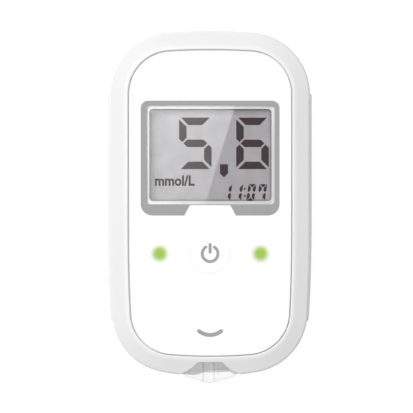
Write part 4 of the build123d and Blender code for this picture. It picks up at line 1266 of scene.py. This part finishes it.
@dataclass
class CircuitBoard:
    """The board with its controller, crystal, capacitors and buzzer."""

    columns: int = 4
    rows: int = 3

    def build(self, frame: Frame) -> None:
        """Dress the board and build the capacitors."""
        dress(frame, BOARD_GREEN, "main_board")
        dress(frame, CHIP_EPOXY, "controller_chip", "buzzer")
        dress(frame, TIN, "crystal")
        bodies, caps = ChipBody("capacitor_bodies", CAPACITOR_CERAMIC), ChipCaps("capacitor_caps", TIN)
        for chips, slot in ((bodies, "chip_black"), (caps, "steel")):
            piece = chips.piece(self.places(caps))
            add_piece(piece, CASE_BODY, slot, chips.finish, "chip_components")

    def places(self, caps: ChipCaps) -> list[Vector]:
        """Middle of each capacitor with these end caps, in rows below the board."""
        low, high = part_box("chip_components")
        length, width = caps.length_mm * MM, caps.width_mm * MM
        step_x = (high.x - low.x - length) / (self.columns - 1)
        step_y = (high.y - low.y - width) / (self.rows - 1)
        first = Vector((low.x + length / 2, low.y + width / 2, (low.z + high.z) / 2))
        return [
            first + Vector((step_x * column, step_y * row, 0.0))
            for row in range(self.rows)
            for column in range(self.columns)
        ]


@dataclass
class StripPort:
    """The clear strip guide, its socket and the contacts."""

    edge_round_mm: float = 0.09
    edge_steps: int = 2
    edge_degrees: float = 35.0
    blade_x_mm: float = -2.4
    blade_path_mm: Outline = (
        (0.0, 10.3),
        (-0.8, 10.3),
        (-0.8, 13.2),
        (-7.6, 13.2),
        (-9.2, 12.25),
        (-10.9, 13.2),
    )

    def build(self, frame: Frame) -> None:
        """Dress the port and round the guide's edges."""
        guide = merged_copy(frame, "strip_guide", "strip_guide_clear")
        rounding = guide.modifiers.new("edge_round", "BEVEL")
        rounding.width = self.edge_round_mm * MM
        rounding.segments = self.edge_steps
        rounding.limit_method = "ANGLE"
        rounding.angle_limit = math.radians(self.edge_degrees)
        piece = frozen(guide, "strip_guide_clear")
        smooth_by_angle(piece, self.edge_degrees)
        clear_the_way(piece)
        add_piece(piece, CASE_BODY, "guide_clear", GUIDE_CLEAR, "strip_guide")
        dress(frame, SOCKET_IVORY, "strip_socket")
        blades = SpringBlades("strip_contact_blades", GOLD)
        soldered_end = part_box("strip_contacts")[1].y / MM
        path = [plan_point(self.blade_x_mm, soldered_end + y, z) for y, z in self.blade_path_mm]
        row = blades.piece(path, list(pairwise(range(len(path)))))
        add_piece(row, CASE_BODY, "gold", GOLD, "strip_contacts")


@dataclass
class Batteries:
    """Two coin cells and the springs that touch them."""

    steps: int = 96
    edge_degrees: float = 30.0
    gasket_mm: Outline = ((8.6, 2.6), (9.15, 2.6), (9.15, 2.98), (8.6, 2.98), (8.6, 2.6))
    can_mm: Outline = (
        (0.0, 0.0),
        (9.3, 0.0),
        (9.72, 0.1),
        (9.93, 0.35),
        (10.0, 0.7),
        (10.0, 2.5),
        (9.9, 2.8),
        (9.6, 2.93),
        (9.12, 2.95),
        (9.12, 2.5),
        (0.0, 2.5),
    )
    cap_mm: Outline = (
        (0.0, 2.4),
        (8.63, 2.4),
        (8.63, 2.9),
        (8.45, 3.12),
        (8.1, 3.2),
        (0.0, 3.2),
    )

    def build(self, frame: Frame) -> None:
        """Turn the cells and dress their contacts."""
        dress(frame, NICKEL, "spring_contacts", "side_contacts")
        for side in ("left", "right"):
            node = f"coin_cell_{side}"
            for part, outline, slot, finish in (
                ("can", self.can_mm, "steel", NICKEL),
                ("cap", self.cap_mm, "steel", TIN),
                ("gasket", self.gasket_mm, "rubber_grey", RUBBER_GREY),
            ):
                add_piece(self.ring(f"{node}_{part}", node, outline), CASE_BODY, slot, finish, node)

    def ring(self, name: str, node: str, outline: Outline) -> bpy.types.Object:
        """Turn one part of a cell.

        Args:
            name: The piece's name.
            node: The CAD cell that it belongs to.
            outline: Radius and height above the cell's foot of each corner, in millimetres.

        Returns:
            The turned part, in its bay.
        """
        low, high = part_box(node)
        foot = Vector(((low.x + high.x) / 2, (low.y + high.y) / 2, low.z))
        profile = [(radius * MM, height * MM) for radius, height in outline]
        piece = turned(name, profile, foot, self.steps)
        smooth_by_angle(piece, self.edge_degrees)
        return piece


@dataclass
class Fasteners:
    """The case screws and the rear label."""

    spread_top_mm: float = 20.55
    spread_bottom_mm: float = 19.45
    edge_degrees: float = 25.0

    def build(self, frame: Frame) -> None:
        """Grow the screws and dress the label."""
        screws = TappingScrew("tapping_screws", NICKEL)
        low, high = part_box("case_screws")
        head = screws.head_radius_mm * MM
        rows = ((self.spread_top_mm, high.y - head), (self.spread_bottom_mm, low.y + head))
        places = [Vector((side * spread * MM, y, low.z)) for spread, y in rows for side in (-1, 1)]
        piece = screws.piece(places)
        smooth_by_angle(piece, self.edge_degrees)
        add_piece(piece, CASE_BODY, "steel", NICKEL, "case_screws")
        dress(frame, LABEL_WHITE, "rear_label")


# ------------------------------------------------------------------------------ studio


@dataclass
class SoftBox:
    """One soft studio lamp, which mirrors don't show."""

    name: str
    place_mm: tuple[float, float, float]
    aim_mm: tuple[float, float, float]
    width_mm: float
    height_mm: float
    watts: float

    def build(self) -> None:
        """Hang the lamp and aim it."""
        lamp = bpy.data.lights.new(self.name, "AREA")
        lamp.shape = "RECTANGLE"
        lamp.size = self.width_mm * MM
        lamp.size_y = self.height_mm * MM
        lamp.energy = self.watts
        hung = bpy.data.objects.new(self.name, lamp)
        bpy.context.scene.collection.objects.link(hung)
        hung.visible_glossy = False
        hung.location = plan_point(*self.place_mm)
        aim = plan_point(*self.aim_mm) - hung.location
        hung.rotation_euler = aim.to_track_quat("-Z", "Y").to_euler()
        logger.info("%s: %.2f W", self.name, self.watts)


@dataclass
class Studio:
    """Camera, floor, lamps and the card that the window mirrors."""

    lens_mm: float = 200.0
    sensor_mm: float = 36.0
    nearest_seen_m: float = 0.01
    furthest_seen_m: float = 20.0
    view_width_mm: float = 115.64
    view_x_mm: float = -0.91
    view_y_mm: float = 0.32
    front_mm: float = 18.0
    floor_half_mm: float = 2500.0
    floor_gap_mm: float = 0.02  # below the flat back, since two faces at one height draw stripes
    floor_colour: str = "#D8D8D8"
    floor_lift: float = 0.68
    world_level: float = 0.573
    card_above_mm: float = 40.0
    card_direction: tuple[float, float, float] = (-0.57, 0.82, 0.0)
    card_near_level: float = 2.65
    card_far_level: float = 4.85
    glare_corners_mm: Outline = ((-18.6, 14.2), (-18.6, -14.2), (-1.64, -14.2), (7.13, 14.2))
    lamps: list[SoftBox] = field(
        default_factory=lambda: [
            SoftBox(
                "key_upper_left",
                place_mm=(-460.0, 420.0, 700.0),
                aim_mm=(0.0, 0.0, 10.0),
                width_mm=500.0,
                height_mm=500.0,
                watts=6.15,
            ),
        ]
    )

    def build(self) -> None:
        """Set up the studio."""
        self.build_camera()
        self.build_world()
        self.build_floor()
        self.build_card()
        for lamp in self.lamps:
            lamp.build()
        bpy.context.scene.view_settings.view_transform = "Standard"

    def eye(self) -> Vector:
        """The camera's place, straight above the front face."""
        distance = self.view_width_mm * self.lens_mm / self.sensor_mm
        return plan_point(self.view_x_mm, self.view_y_mm, self.front_mm + distance)

    def build_camera(self) -> None:
        """Aim a long lens straight down, with the top end of the meter upwards."""
        lens = bpy.data.cameras.new("studio_camera")
        lens.lens = self.lens_mm
        lens.sensor_width = self.sensor_mm
        lens.clip_start = self.nearest_seen_m
        lens.clip_end = self.furthest_seen_m
        camera = bpy.data.objects.new("studio_camera", lens)
        bpy.context.scene.collection.objects.link(camera)
        camera.location = self.eye()
        bpy.context.scene.camera = camera

    def build_world(self) -> None:
        """Even light from all round, and white to look at."""
        world = bpy.data.worlds.new("studio_world")
        world.use_nodes = True
        tree = world.node_tree
        tree.nodes.clear()
        strength = spread(tree, seen_directly(tree), self.world_level, 1.0, 0.0, 1.0)
        air = add_node(tree, "ShaderNodeBackground", {"Strength": strength, "Color": (1.0, 1.0, 1.0, 1.0)})
        add_node(tree, "ShaderNodeOutputWorld", {"Surface": air.outputs[0]})
        bpy.context.scene.world = world

    def build_floor(self) -> None:
        """Lay the pale sheet that the meter rests on."""
        half = self.floor_half_mm
        corners = [
            plan_point(x, y, -self.floor_gap_mm)
            for x, y in ((-half, -half), (half, -half), (half, half), (-half, half))
        ]
        floor = mesh_piece("studio_floor", corners, [(0, 1, 2, 3)])
        sheet = StudioFloor("studio_sheet", self.floor_colour, self.floor_lift)
        floor.data.materials.append(sheet.material())

    def mirrored(self, x_mm: float, y_mm: float) -> Vector:
        """The point above the camera that the camera sees mirrored in the front face at x_mm, y_mm."""
        eye = self.eye()
        distance = eye.z - self.front_mm * MM
        reach = (2 * distance + self.card_above_mm * MM) / distance
        across = (plan_point(x_mm, y_mm, self.front_mm) - eye) * reach
        return Vector((eye.x + across.x, eye.y + across.y, eye.z + self.card_above_mm * MM))

    def build_card(self) -> None:
        """Hang the card, for mirrored rays only, whose image lies slantwise over the window's left part."""
        middle = middle_mm("display_window")
        corners = [self.mirrored(middle.x + x, middle.y + y) for x, y in self.glare_corners_mm]
        reaches = [corner.dot(Vector(self.card_direction)) for corner in corners]
        card = mesh_piece("overhead_card", corners, [(0, 1, 2, 3)])
        levels = self.card_near_level, self.card_far_level
        light = SoftCard("card_light", self.card_direction, min(reaches), max(reaches), *levels)
        card.data.materials.append(light.material())
        for other_rays in ("camera", "diffuse", "transmission", "volume_scatter", "shadow"):
            setattr(card, f"visible_{other_rays}", False)


def main() -> None:
    """Build the meter's looks, one sub-assembly after the other, and the studio round it."""
    logging.basicConfig(level=logging.INFO, format="%(name)s: %(message)s")
    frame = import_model()
    for assembly in (
        Shells(),
        FrontPanel(),
        PowerKey(),
        IndicatorLights(),
        Display(),
        CircuitBoard(),
        StripPort(),
        Batteries(),
        Fasteners(),
    ):
        logger.info("building %s", type(assembly).__name__)
        assembly.build(frame)
    Studio().build()


if __name__ == "__main__":
    main()
